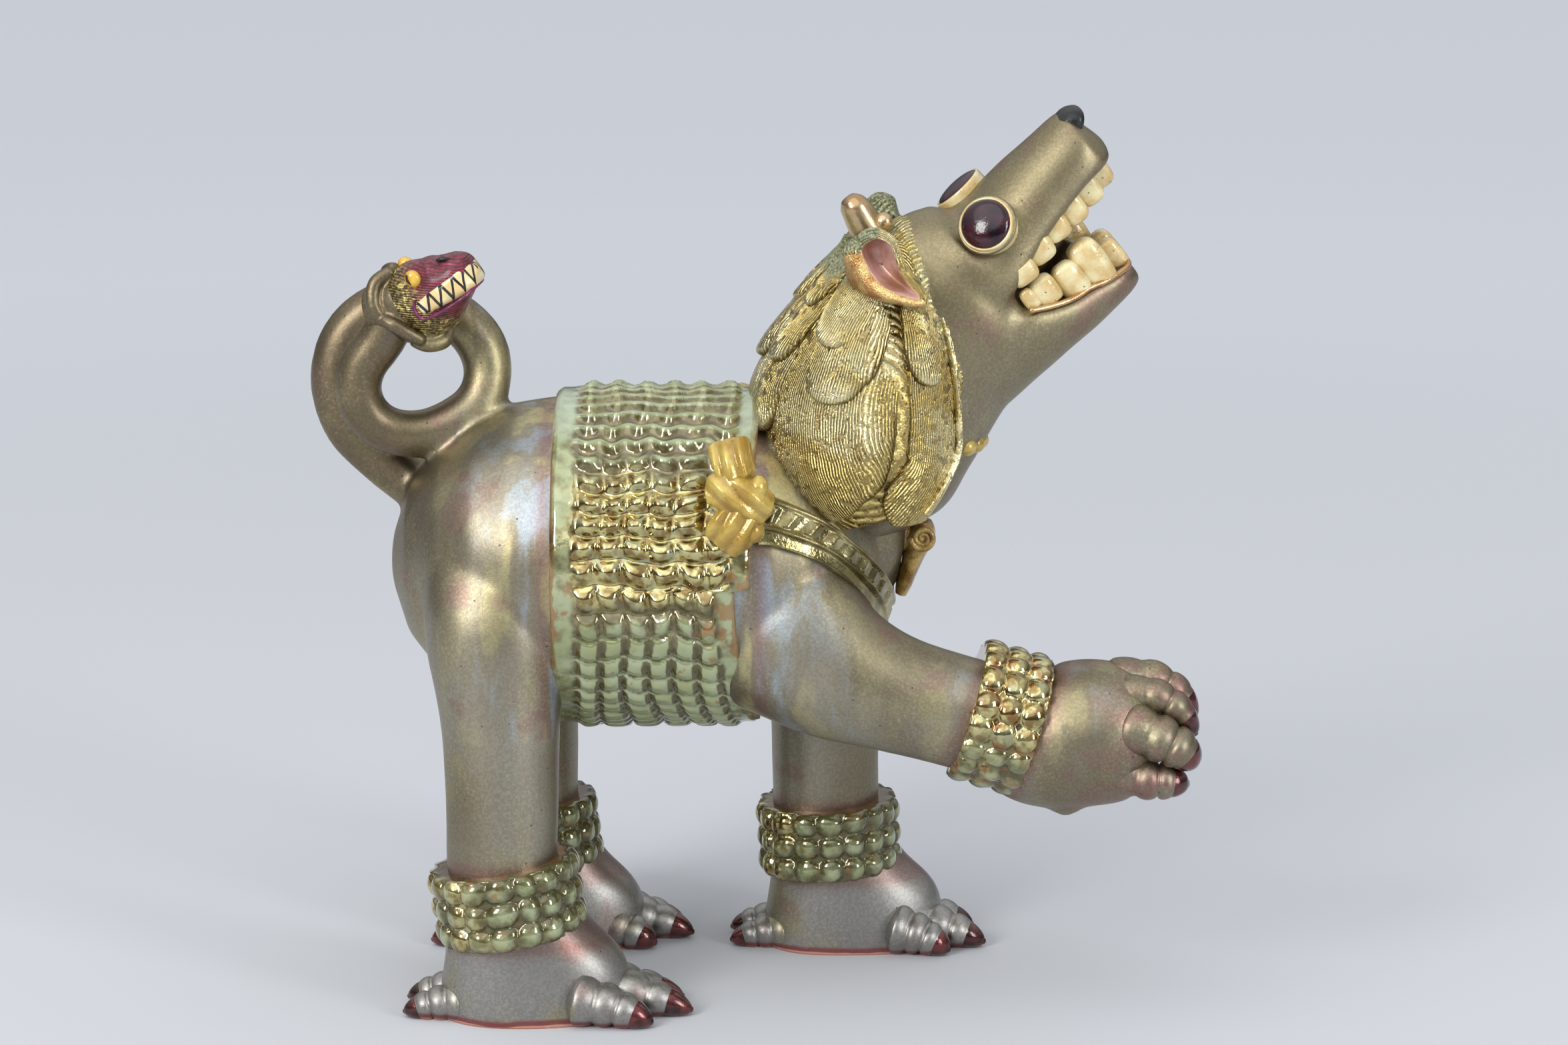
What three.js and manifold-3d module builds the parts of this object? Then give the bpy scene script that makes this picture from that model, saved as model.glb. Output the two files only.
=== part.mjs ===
// A lustre-glazed ceramic guardian lion, in millimetres: +X is where it looks, +Z is up.
// It stands on three feet, with its right forepaw raised, in a studded jacket, a sash,
// a combed mane and four beaded bands. Its tail makes a loop and ends in a snake's head.
// The figure was fired as one piece, so all the clay forms below are joined into one solid.
import * as THREE from "three";
import { mergeVertices } from "three/addons/utils/BufferGeometryUtils.js";
import Module from "manifold-3d";

const wasm = await Module();
wasm.setup();

// Driving dimensions
const RIGHT = -1; // the side with the raised forepaw, at -Y
const LEFT = 1;
const torso = { radius: 84, z: 229, hipX: -103, chestX: -12, rumpDepth: 87, chestDepth: 84 };
const jacket = { rearX: -103, frontX: 4, radius: 87, z: 230.5, rows: 32, columns: 6, rearHem: 12, frontHem: 8 };
const stud = { jacket: 4.5, band: 4 };
const stance = 60; // each leg's centre from the middle plane
const legRadius = 28.5;
const band = { radius: 37.5, height: 37, beads: 14, rows: 3 };
const footLift = 62; // the anklets' middle above the ground
const head = { x: 121, z: 430.3, pitch: 43, roll: 15, axis: -46 };
const tail = { radius: 13.6, tip: 12.4 };
const tooth = { width: 11.5, length: 15 };
const eye = { along: -16, aside: 30, rise: -5, rim: 16, iris: 12.3, depth: 6 };

const radians = THREE.MathUtils.degToRad;
const at = (x, y, z) => new THREE.Vector3(x, y, z);
const ACROSS = at(0, 1, 0);

// Catmull-Rom through rows of numbers, at n evenly spread places
function smooth(rows, n) {
  return Array.from({ length: n }, (_, i) => {
    const place = (i / (n - 1)) * (rows.length - 1);
    const k = Math.min(Math.floor(place), rows.length - 2);
    const t = place - k;
    const pick = (j) => rows[Math.max(0, Math.min(rows.length - 1, j))];
    return rows[k].map((_, c) => {
      const [a, b, d, e] = [pick(k - 1)[c], pick(k)[c], pick(k + 1)[c], pick(k + 2)[c]];
      return b + 0.5 * t * (d - a + t * (2 * a - 5 * b + 4 * d - e + t * (3 * (b - d) + e - a)));
    });
  });
}

// A closed mesh as a solid, with its faces turned outwards
function solid(geometry) {
  geometry.deleteAttribute("normal");
  geometry.deleteAttribute("uv");
  const merged = mergeVertices(geometry, 1e-3);
  const triVerts = Uint32Array.from(merged.index.array);
  const vertProperties = Float32Array.from(merged.attributes.position.array);
  let body = new wasm.Manifold(new wasm.Mesh({ numProp: 3, vertProperties, triVerts }));
  if (body.volume() < 0) {
    for (let i = 0; i < triVerts.length; i += 3) {
      [triVerts[i], triVerts[i + 1]] = [triVerts[i + 1], triVerts[i]];
    }
    body = new wasm.Manifold(new wasm.Mesh({ numProp: 3, vertProperties, triVerts }));
  }
  return body;
}

const join = (pieces) => pieces.reduce((whole, piece) => whole.add(piece));

// A clay roll: rows are [x, y, z, half width across, rise, drop]. A sphere's rings are laid on
// the rows, and its poles close the ends, pushed out by bulge times the end's rise.
function roll(rows, { sides = 16, rings = 0, square = [2, 2], bulge = [0.4, 0.4], side = ACROSS, map } = {}) {
  const list = rings ? smooth(rows, rings) : rows;
  const centres = list.map(([x, y, z]) => at(x, y, z));
  const geometry = new THREE.SphereGeometry(1, sides, list.length + 1);
  const place = geometry.attributes.position;
  const bend = (v, n) => Math.sign(v) * Math.abs(v) ** (2 / n);
  for (let i = 0; i <= list.length + 1; i++) {
    const k = Math.max(0, Math.min(list.length - 1, i - 1));
    const ahead = centres[Math.min(k + 1, list.length - 1)].clone();
    const tangent = ahead.sub(centres[Math.max(k - 1, 0)]).normalize();
    const across = side.clone().addScaledVector(tangent, -side.dot(tangent)).normalize();
    const up = tangent.clone().cross(across);
    const [, , , width, rise, drop = rise] = list[k];
    const pole = i === 0 || i > list.length;
    for (let j = 0; j <= sides; j++) {
      const angle = (2 * Math.PI * (j % sides)) / sides;
      const [c, s] = [Math.cos(angle), Math.sin(angle)];
      const n = s >= 0 ? square[0] : square[1];
      const point = centres[k].clone();
      if (pole) point.addScaledVector(tangent, (i ? bulge[1] : -bulge[0]) * rise);
      else {
        point.addScaledVector(across, width * bend(c, n));
        point.addScaledVector(up, (s >= 0 ? rise : drop) * bend(s, n));
      }
      if (map) map(point);
      place.setXYZ(i * (sides + 1) + j, point.x, point.y, point.z);
    }
  }
  return solid(geometry);
}

function ball(x, y, z, rx, ry = rx, rz = rx, { sides = 10, turn, map } = {}) {
  const geometry = new THREE.SphereGeometry(1, sides, Math.ceil(sides / 2) + 1);
  geometry.scale(rx, ry, rz);
  if (turn) geometry.applyMatrix4(turn);
  geometry.translate(x, y, z);
  if (map) remap(geometry, map);
  return solid(geometry);
}

function remap(geometry, map) {
  const place = geometry.attributes.position;
  for (let i = 0; i < place.count; i++) {
    const point = at(place.getX(i), place.getY(i), place.getZ(i));
    map(point);
    place.setXYZ(i, point.x, point.y, point.z);
  }
}

// Torso: a drum with a round rump and a round chest
function makeTorso() {
  const rows = [];
  const { radius, z, hipX, chestX, rumpDepth, chestDepth } = torso;
  for (const angle of [74, 48, 24, 0]) {
    const [c, s] = [Math.cos(radians(angle)), Math.sin(radians(angle))];
    rows.push([hipX - rumpDepth * s, 0, z, radius * c, radius * c]);
  }
  for (const angle of [0, 24, 48, 74]) {
    const [c, s] = [Math.cos(radians(angle)), Math.sin(radians(angle))];
    rows.push([chestX + chestDepth * s, 0, z, radius * c, radius * c]);
  }
  return roll(rows, { sides: 18, bulge: [0.12, 0.12] });
}

// Studded drum: rows x columns of studs, each a low pyramid, between two plain hems.
// edge(angle) gives the two rims' places along the drum's axis.
function studded({ rows, columns, radius, height, hems, edge }) {
  const points = [];
  const faces = [];
  const put = (u, v, r) => {
    const angle = (2 * Math.PI * u) / rows;
    const [from, to] = edge(angle);
    const inner = to - from - hems[0] - hems[1];
    const along = v < 0 ? from : v > columns ? to : from + hems[0] + (inner * v) / columns;
    points.push(along, r * Math.cos(angle), r * Math.sin(angle));
    return points.length / 3 - 1;
  };
  const ring = (v, r) => Array.from({ length: rows }, (_, u) => put(u, v, r));
  const groove = radius - height * 0.15;
  const rims = [];
  for (let v = 0; v <= columns; v++) rims.push(ring(v, v % columns ? groove : radius));
  if (hems[0]) rims.unshift(ring(-1, radius));
  if (hems[1]) rims.push(ring(columns + 1, radius));
  const first = hems[0] ? 1 : 0;
  for (let u = 0; u < rows; u++) {
    const next = (u + 1) % rows;
    for (let k = 0; k < rims.length - 1; k++) {
      const [a, b, c, d] = [rims[k][u], rims[k][next], rims[k + 1][next], rims[k + 1][u]];
      const v = k - first;
      if (v < 0 || v >= columns) {
        faces.push(a, b, c, a, c, d);
        continue;
      }
      const crown = put(u + 0.5, v + 0.5, radius + height);
      faces.push(a, b, crown, b, c, crown, c, d, crown, d, a, crown);
    }
  }
  const middle = (angles) => angles.reduce((sum, a) => sum + a, 0) / angles.length;
  const angles = Array.from({ length: rows }, (_, u) => (2 * Math.PI * u) / rows);
  [0, rims.length - 1].forEach((k, side) => {
    points.push(middle(angles.map((a) => edge(a)[side])), 0, 0);
    const hub = points.length / 3 - 1;
    for (let u = 0; u < rows; u++) {
      const pair = [rims[k][u], rims[k][(u + 1) % rows]];
      faces.push(hub, ...(side ? pair : pair.reverse()));
    }
  });
  const geometry = new THREE.BufferGeometry();
  geometry.setAttribute("position", new THREE.Float32BufferAttribute(points, 3));
  geometry.setIndex(faces);
  return geometry;
}

// The jacket's front rim is cut back at the sides, where it goes round the shoulders
function makeJacket() {
  const edge = (angle) => {
    const side = Math.abs(Math.cos(angle)) ** 2;
    const cutBack = 13 * side * (Math.sin(angle) < 0 ? 1 : 0.4);
    return [jacket.rearX, jacket.frontX - cutBack];
  };
  const geometry = studded({
    rows: jacket.rows,
    columns: jacket.columns,
    radius: jacket.radius,
    height: stud.jacket,
    hems: [jacket.rearHem, jacket.frontHem],
    edge,
  });
  return solid(geometry.translate(0, 0, jacket.z));
}

// A beaded band round an ankle or the raised wrist. Its axis starts along +X and turns about Y.
function makeBand(x, y, z, turn, size = 1) {
  const half = band.height / 2;
  const geometry = studded({
    rows: band.beads,
    columns: band.rows,
    radius: band.radius,
    height: stud.band,
    hems: [0, 0],
    edge: () => [-half, half],
  });
  geometry.scale(size, size, size).rotateY(radians(turn)).translate(x, y, z);
  return solid(geometry);
}

// A toe: two plump joints and a pointed nail
function toe(from, to, radius, sides = 6) {
  const joints = [[0.05, 0.95], [0.45, 0.98], [0.86, 0.56]];
  const rows = joints.map(([t, r]) => {
    const centre = from.clone().lerp(to, t);
    return [centre.x, centre.y, Math.max(centre.z, radius * r * 0.55), radius * r, radius * r, radius * r * 0.8];
  });
  return roll(rows, { sides, bulge: [0.2, 1.2] });
}

// A standing foot under the anklet at (x, y): a wedge with a flat sole, three toes and two heel toes.
// reach is how far the middle toe goes forward, and spread where the toes' tips lie across the foot.
function makeFoot(x, y, reach, spread) {
  const rows = [
    [x - 1, y, footLift + 2, 29, 31, 29],
    [x + 1, y, 42, 29, 38, 33],
    [x + 4, y, 20, 29, 47, 39],
    [x + 6, y, 0, 29, 51, 40],
  ];
  const front = x + 37;
  const tip = x + reach;
  const [near, middle, far] = spread.map((offset) => y + offset);
  return join([
    roll(rows, { sides: 10, square: [2.3, 2.3], bulge: [0, 0] }),
    toe(at(front - 3, near + 9, 11), at(tip - 16, near, 3), 12.5),
    toe(at(front + 8, middle + 7, 12), at(tip, middle, 3), 12.5),
    toe(at(front + 2, far + 2, 11), at(tip - 3, far, 3), 12),
    toe(at(x - 26, y - 10, 9), at(x - 51, y - 11, 3), 10, 5),
    toe(at(x - 26, y + 10, 9), at(x - 51, y + 11, 3), 10, 5),
  ]).trimByPlane([0, 0, 1], 0);
}

// Legs: a hip or shoulder inside the torso, then a plain round column down to the foot
function makeLeg(x, side, lean, tilt, reach, spread) {
  const y = side * stance;
  const rows = [
    [x + lean, y * 0.6, 252, 26, 30, 34],
    [x + lean, y * 0.84, 208, 35, 36, 38],
    [x + lean * 0.5, y * 0.96, 168, 31, 32, 32],
    [x, y, 122, 29.5, 29.5, 29.5],
    [x, y, 60, legRadius, legRadius, legRadius],
  ];
  return join([
    roll(rows, { sides: 12, bulge: [0, 0] }),
    makeFoot(x + 2, y, reach, spread),
    makeBand(x + 2, y, footLift, -90 - tilt),
  ]);
}

// The raised forelimb: a broad shoulder, a level forearm, and a paw with four curled fingers
function makeRaisedLimb() {
  const y = RIGHT * 62;
  const arm = [
    [-8, y * 0.5, 214, 34, 46, 50],
    [14, y * 0.78, 203, 36, 46, 48],
    [42, y * 0.96, 184, 31, 37, 39],
    [70, y, 171.5, 29, 30.5, 31],
    [98, y, 163, 28.5, 29, 29.5],
    [126, y, 156, 28, 29, 29],
  ];
  const paw = [
    [126, y, 158, 28, 28, 28],
    [142, y, 150, 32, 34, 35],
    [156, y, 147.5, 35, 38.5, 41],
    [174, y, 148, 36, 40, 39],
    [190, y, 150, 33, 37, 35],
    [204, y, 151, 24, 27, 26],
  ];
  const finger = (rows) => roll(rows, { sides: 6, bulge: [0.3, 0.9] });
  return join([
    roll(arm, { sides: 12, bulge: [0.3, 0] }),
    makeBand(126.7, y, 158, 22.5, 0.95),
    roll(paw, { sides: 12, bulge: [0, 0.35] }),
    finger([[186, y - 8, 172, 12, 10], [203, y - 9, 172.5, 11.5, 11], [217, y - 9, 167, 10, 10], [223, y - 9, 158, 7.5, 7.5]]),
    finger([[188, y + 16, 174, 12, 10], [206, y + 16, 174.5, 11.5, 11], [219, y + 15, 168, 10, 10], [225, y + 14, 159, 7.5, 7.5]]),
    finger([[194, y - 22, 154, 14, 14], [211, y - 22, 149, 12.5, 12.5], [224, y - 21, 142, 9.5, 9.5]]),
    finger([[188, y - 16, 130, 11, 11], [203, y - 17, 127, 11, 10.5], [214, y - 17, 125, 10, 9.5], [222, y - 16, 123, 6.5, 6]]),
  ]);
}

// Head points are given along the snout's bridge (a), across (b) and above the bridge (c).
// The head is pitched up and rolled towards the right, and the roll fades out down the neck.
function toWorld(point) {
  const [a, b, c] = [point.x, point.y, point.z];
  const fade = THREE.MathUtils.smoothstep(a, -125, -60);
  const twist = radians(head.roll) * fade;
  const lift = c - head.axis;
  const across = b * Math.cos(twist) - lift * Math.sin(twist);
  const above = head.axis + b * Math.sin(twist) + lift * Math.cos(twist);
  const [cp, sp] = [Math.cos(radians(head.pitch)), Math.sin(radians(head.pitch))];
  point.set(head.x + a * cp - above * sp, across, head.z + a * sp + above * cp);
}

// rows: [a, top, bottom, half width], as seen from the side
function headRoll(rows, options) {
  const list = rows.map(([a, top, bottom, width, split = 0.5]) => {
    const waist = bottom + (top - bottom) * split;
    return [a, 0, waist, width, top - waist, waist - bottom];
  });
  return roll(list, { ...options, map: toWorld });
}

const upperLip = [[-28, -43, 40], [-12, -38, 35.5], [2, -35, 31], [18, -33.5, 27], [32, -32, 24.5], [43, -32, 21.5], [50, -31, 15]];
const lowerLip = [[-28, -56, 38], [-12, -65, 32.5], [2, -70.5, 26.5], [14, -73, 21], [21, -74, 15]];

function makeHead() {
  const neck = headRoll(
    [[-178, -22, -122, 60], [-146, -14, -116, 55], [-112, -8, -105.5, 49], [-76, 4, -94.5, 45.5], [-48, 11, -93.5, 45],
      [-31, 7, -94.5, 42]],
    { sides: 12, bulge: [0, 0.12] },
  );
  const upper = headRoll(
    [[-46, 9, -46, 41, 0.2], ...upperLip.map(([a, lip, width], i) => {
      const bridge = [6.5, 3, 0.6, 0, 0.4, 0.6, -3][i];
      return [a, bridge, lip, width, 0.2];
    })],
    { sides: 14, square: [2.1, 3.5], bulge: [0, 0.3] },
  );
  const lower = headRoll(
    [[-46, -52, -94.5, 40, 0.8], ...lowerLip.map(([a, lip, width], i) => {
      const chin = [-95.5, -96.5, -97, -96.5, -94][i];
      return [a, lip, chin, width, 0.8];
    })],
    { sides: 14, square: [3.5, 2.2], bulge: [0, 0.4] },
  );
  const throat = ball(-22, 0, -52, 24, 27, 17, { sides: 10, map: toWorld });
  const jaws = join([neck, upper, lower]).subtract(throat);
  return join([jaws, makeNose(), ...makeTeeth(), makeEye(RIGHT), makeEye(LEFT)]);
}

function makeNose() {
  const rows = [[40, -4, -12, 6], [47, 2.5, -16, 8.5], [53, 3, -17, 8], [57, 0, -12, 4]];
  return headRoll(rows, { sides: 8, bulge: [0, 0.5] });
}

// Teeth stand in a row along each lip, and one canine in each row is larger
function makeTeeth() {
  const list = [];
  const set = (a, b, c, width, length, way) => {
    const rows = [
      [a, b, c + way * 4, width * 0.44, width * 0.5],
      [a, b, c - way * length * 0.75, width * 0.36, width * 0.4],
    ];
    list.push(roll(rows, { sides: 5, bulge: [0, 0.5], map: toWorld }));
  };
  const inset = 4.5;
  for (const side of [RIGHT, LEFT]) {
    [[-19, 37, -40.5, 13, 11], [-4, 32.5, -36.5, 13.5, 13], [10, 29, -34, 13.5, 14], [24, 26, -32.5, 13.5, 18], [36, 22, -31.5, 12, 14]]
      .forEach(([a, b, c, width, length]) => set(a, side * (b - inset), c, width, length, 1));
    [[-20, 35.5, -60, 14.5, 10], [-6, 29.5, -68, 15, 13], [8, 24, -71.5, 15.5, 22], [20, 12, -73.5, 13.5, 16]]
      .forEach(([a, b, c, width, length]) => set(a, side * (b - inset), c, width, length, -1));
    set(44, side * 7, -31, 11, 13, 1);
  }
  return list;
}

// Eyes: a raised disc with a domed iris, facing out and up
function makeEye(side) {
  const tilt = radians(42);
  const normal = at(0, side * Math.cos(tilt), Math.sin(tilt));
  const centre = at(eye.along, side * eye.aside, eye.rise).addScaledVector(normal, -12);
  const stations = [[0, eye.rim + 1], [13.5, eye.rim], [14.5, eye.iris], [18, eye.iris * 0.7]];
  const rows = stations.map(([t, r]) => {
    const point = centre.clone().addScaledVector(normal, t);
    return [point.x, point.y, point.z, r, r];
  });
  return roll(rows, { sides: 9, side: at(1, 0, 0), bulge: [0, 0.1], map: toWorld });
}

// Mane: [half width, z, x of the back, x of the front, y] from the nape down to the shoulders,
// with its locks as low swellings at [z, degrees from the front, half height, half spread, thickness]
const maneRows = [
  [26, 400, 48, 78, -8], [48, 388, 41, 87, -7], [61, 368, 27, 96, -4], [69, 348, 12, 103, -2], [73, 325, 1, 109, 0],
  [73, 300, 0, 110, 0], [70, 278, 8, 106, 0], [62, 259, 26, 98, 0],
];
const locks = [
  [324, 47, 46, 16, 9], [304, 92, 38, 30, 8], [362, 92, 30, 24, 7], [330, 138, 40, 22, 6], [366, 180, 26, 26, 6], [300, 180, 20, 22, 3],
];

function makeMane() {
  const rows = smooth(maneRows, 12).map(([width, z, back, front, y]) => {
    return [(back + front) / 2, y, z, width, (front - back) / 2];
  });
  const swell = (point) => {
    const out = at(point.x - 55, point.y, 0);
    const angle = THREE.MathUtils.radToDeg(Math.atan2(Math.abs(point.y), point.x - 55));
    let most = 0;
    for (const [z, turn, height, spread, thickness] of locks) {
      const away = Math.hypot((point.z - z) / height, (angle - turn) / spread);
      most = Math.max(most, thickness * Math.sqrt(Math.max(0, 1 - away ** 2)));
    }
    if (out.length() > 20) point.addScaledVector(out.normalize(), most);
  };
  return roll(rows, { sides: 20, square: [2.7, 2.2], bulge: [0.15, 0.2], map: swell });
}

// Ears are cups beside the crown, open to the side, with a horn and a small ball between them
function makeCrown() {
  const ear = (side, along, rise) => {
    const cup = ball(along, side * 40, rise, 20, 15, 23, { sides: 9, map: toWorld });
    const hollow = ball(along + 3, side * 53, rise + 1, 13, 12, 15, { sides: 7, map: toWorld });
    return cup.subtract(hollow);
  };
  const horn = roll([[-68, 0, 10, 9, 9], [-65, 0, 27, 6.8, 6.8], [-60, 0, 43, 4.5, 4.5]], {
    sides: 6,
    bulge: [0, 0.5],
    map: toWorld,
  });
  const knob = ball(-53, 0, 19, 5.5, 5.5, 5.5, { sides: 6, map: toWorld });
  return join([ear(RIGHT, -67, 14), ear(LEFT, -56, 9), horn, knob]);
}

// Tail: out of the rump, once round a loop, and up again in front of its own start
const tailPath = [
  [-150, 10, 246], [-178, 12, 265], [-197, 12, 281], [-212, 11, 298], [-218.5, 11, 318], [-216, 11, 338],
  [-204, 11, 354], [-184, 11, 362.5], [-163, 10, 359], [-146, 8, 347], [-138.5, 5, 330], [-142, 1, 313],
  [-155, -3, 302], [-173, -7, 296], [-192, -11, 300], [-203, -14, 314], [-202, -15, 331], [-191, -16, 347],
  [-184, -17, 362],
];

function makeTail() {
  const last = tailPath.length - 1;
  const rows = tailPath.map(([x, y, z], i) => {
    const r = tail.radius + ((tail.tip - tail.radius) * i) / last;
    return [x, y, z, r, r];
  });
  return roll(rows, { sides: 8, rings: 23, bulge: [0, 0.2] });
}

// The tail's head is given along its own axis (x), across (y) and up (z), from the nape
const snake = { nape: at(-186, -20, 368.5), yaw: -22, pitch: 20, roll: 14 };

function snakeToWorld(point) {
  point.applyEuler(new THREE.Euler(radians(snake.roll), radians(-snake.pitch), radians(snake.yaw), "ZYX"));
  point.add(snake.nape);
}

function makeSnakeHead() {
  const skull = roll(
    [[-4, 0, 0, 13, 13, 15], [11, 0, 0, 15.5, 13, 17.5], [28, 0, 0, 14.5, 11.5, 18], [42, 0, 0, 11.5, 11, 13], [50, 0, -1, 7, 5, 7]],
    { sides: 9, bulge: [0.3, 0.3], map: snakeToWorld },
  );
  const eyes = [RIGHT, LEFT].map((side) => ball(15, side * 12.5, 8.5, 6, 4, 5, { sides: 6, map: snakeToWorld }));
  const gums = roll(
    [[13, 0, -9.5, 15.5, 4.5], [28, 0, -7.5, 15.4, 5.6], [41, 0, -4, 12.6, 6], [50, 0, -1.5, 8, 5]],
    { sides: 8, square: [3, 3], bulge: [0, 0.4], map: snakeToWorld },
  );
  const flaps = [[-7, -3, 6, 6, 13, 9], [-5, -8, -10, 6, 9, 11], [8, -3, -20, 12, 11, 8]].map(
    ([x, y, z, ...radii]) => ball(x, y, z, ...radii, { sides: 6, map: snakeToWorld }),
  );
  return join([skull, gums, ...eyes, ...flaps]);
}

// Sash: a wide and a narrow band across the chest, from shoulder to shoulder.
// Its line is given as [degrees from the front, z], and both bands lie on the chest's surface.
const sashLine = [[72, 275], [55, 264], [40, 247], [28, 232], [13, 215]];

function makeSash() {
  const onChest = (turn, z) => {
    const reach = Math.sqrt(torso.radius ** 2 - (z - torso.z) ** 2);
    return [torso.chestX + reach * Math.cos(radians(turn)), reach * Math.sin(radians(turn)), z];
  };
  const strip = (drop, width, thickness) => {
    const right = sashLine.map(([turn, z]) => onChest(-turn, z - drop));
    const left = sashLine.map(([turn, z]) => onChest(turn, z - drop)).reverse();
    const rows = [...right, onChest(0, 206 - drop), ...left].map((row) => [...row, width, thickness]);
    return roll(rows, { sides: 4, side: at(0, 0, 1), bulge: [0, 0] });
  };
  return join([strip(8, 8, 5), strip(19, 4.5, 4)]);
}

// A knotted bow sits on the jacket's front rim at each side, and a scrolled drop hangs at the throat
function makeTrim() {
  const bow = (side) => {
    const place = ([x, y, z, width, rise]) => [x, side * y, z, width, rise];
    return join([
      roll([[-17, 70, 303, 8, 12], [-12, 79, 288, 8, 10], [-7, 85, 272, 8, 13]].map(place), { sides: 6, bulge: [0.2, 0.3] }),
      roll([[-9, 85, 266, 7, 9], [-14, 86, 250, 5, 7]].map(place), { sides: 6, bulge: [0.3, 0.3] }),
    ]);
  };
  const drop = roll([[90, 0, 256, 17, 6], [87, 0, 238, 17, 6], [77, 0, 213, 6, 4]], {
    sides: 6,
    bulge: [0.4, 0.6],
  });
  const stem = ball(76, 0, 244, 18, 12, 10, { sides: 6 });
  const bead = ball(117, 0, 292, 5.5, 9, 5.5, { sides: 6 });
  return join([bow(RIGHT), bow(LEFT), drop, stem, bead]);
}

// All the clay in one piece, with no pocket left closed up inside it
function makeLion() {
  const whole = join([
    makeTorso(),
    makeJacket(),
    makeLeg(-129.5, RIGHT, -2, 8, 94, [-29, -10, 12]),
    makeLeg(-126, LEFT, -2, 6, 88, [-18, 1, 20]),
    makeLeg(38.5, LEFT, -6, 3, 84, [-30, -16, 16]),
    makeRaisedLimb(),
    makeHead(),
    makeMane(),
    makeCrown(),
    makeTail(),
    makeSnakeHead(),
    makeSash(),
    makeTrim(),
  ]);
  return whole.simplify(0.7).decompose().reduce((most, one) => (one.volume() > most.volume() ? one : most));
}

// The frame's origin is under the middle of the figure, on the ground
function toGeometry(body) {
  const mesh = body.getMesh();
  const geometry = new THREE.BufferGeometry();
  geometry.setAttribute("position", new THREE.BufferAttribute(Float32Array.from(mesh.vertProperties), 3));
  geometry.setIndex(Array.from(mesh.triVerts));
  geometry.computeBoundingBox();
  const { min, max } = geometry.boundingBox;
  geometry.translate(-(min.x + max.x) / 2, -(min.y + max.y) / 2, -min.z);
  geometry.computeVertexNormals();
  return geometry;
}

const lustre = new THREE.MeshStandardMaterial({ color: 0x8f8a70, roughness: 0.32, metalness: 0.75 });
const lion = new THREE.Mesh(toGeometry(makeLion()), lustre);
lion.name = "guardian_lion";

const statue = new THREE.Group();
statue.add(lion);
export default statue;
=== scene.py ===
# %% [markdown]
# # A lustre-glazed guardian lion
# The real figure is one hollow stoneware form, built by hand, glazed with metallic lustres and
# fired again.
# This script dresses its plain CAD solid: every clay form is modelled here in millimetres, at the
# place where the solid has it, and is turned into metres when it is finished.

# %% Open the frame
import bisect
import math
import random

import bmesh
import bpy
from mathutils import Euler, Matrix, Vector, noise


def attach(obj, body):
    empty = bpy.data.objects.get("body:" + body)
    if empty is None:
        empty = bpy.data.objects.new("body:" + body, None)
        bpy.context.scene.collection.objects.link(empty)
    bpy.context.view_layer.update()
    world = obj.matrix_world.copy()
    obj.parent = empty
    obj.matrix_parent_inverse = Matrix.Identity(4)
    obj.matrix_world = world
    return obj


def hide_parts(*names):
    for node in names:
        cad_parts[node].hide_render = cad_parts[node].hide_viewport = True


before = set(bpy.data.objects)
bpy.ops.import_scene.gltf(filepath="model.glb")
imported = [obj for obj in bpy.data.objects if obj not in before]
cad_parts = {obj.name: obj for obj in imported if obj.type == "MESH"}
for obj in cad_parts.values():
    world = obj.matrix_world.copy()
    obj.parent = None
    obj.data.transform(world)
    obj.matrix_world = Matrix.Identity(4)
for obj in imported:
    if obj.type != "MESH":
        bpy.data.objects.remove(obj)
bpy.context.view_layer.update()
MM = 0.001
RIGHT, LEFT = -1, 1
rng = random.Random(7)

# %% [markdown]
# ## Glazes as node trees
# A glaze is a colour that pools and breaks, a gloss and a fine relief. Each one is a tree of
# shader nodes. Writing them node by node is long, so a small class wraps a socket that carries
# a number, and arithmetic on it adds the Math nodes.


# %% Arithmetic on sockets
class Level:
    """A socket that carries a number at each point of the surface."""

    def __init__(self, glaze, socket):
        self.glaze = glaze
        self.socket = socket

    def math(self, operation, *others):
        return self.glaze.math(operation, self, *others)

    def __add__(self, other):
        return self.math("ADD", other)

    __radd__ = __add__

    def __sub__(self, other):
        return self.math("SUBTRACT", other)

    def __rsub__(self, other):
        return self.glaze.math("SUBTRACT", other, self)

    def __mul__(self, other):
        return self.math("MULTIPLY", other)

    __rmul__ = __mul__

    def __truediv__(self, other):
        return self.math("DIVIDE", other)

    def between(self, low, high):
        """0 below low, 1 above high, and a smooth step between them."""
        values = {"Value": self, "From Min": low, "From Max": high}
        node = self.glaze.node("ShaderNodeMapRange", {"interpolation_type": "SMOOTHSTEP"}, values)
        return Level(self.glaze, node.outputs[0])


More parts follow.
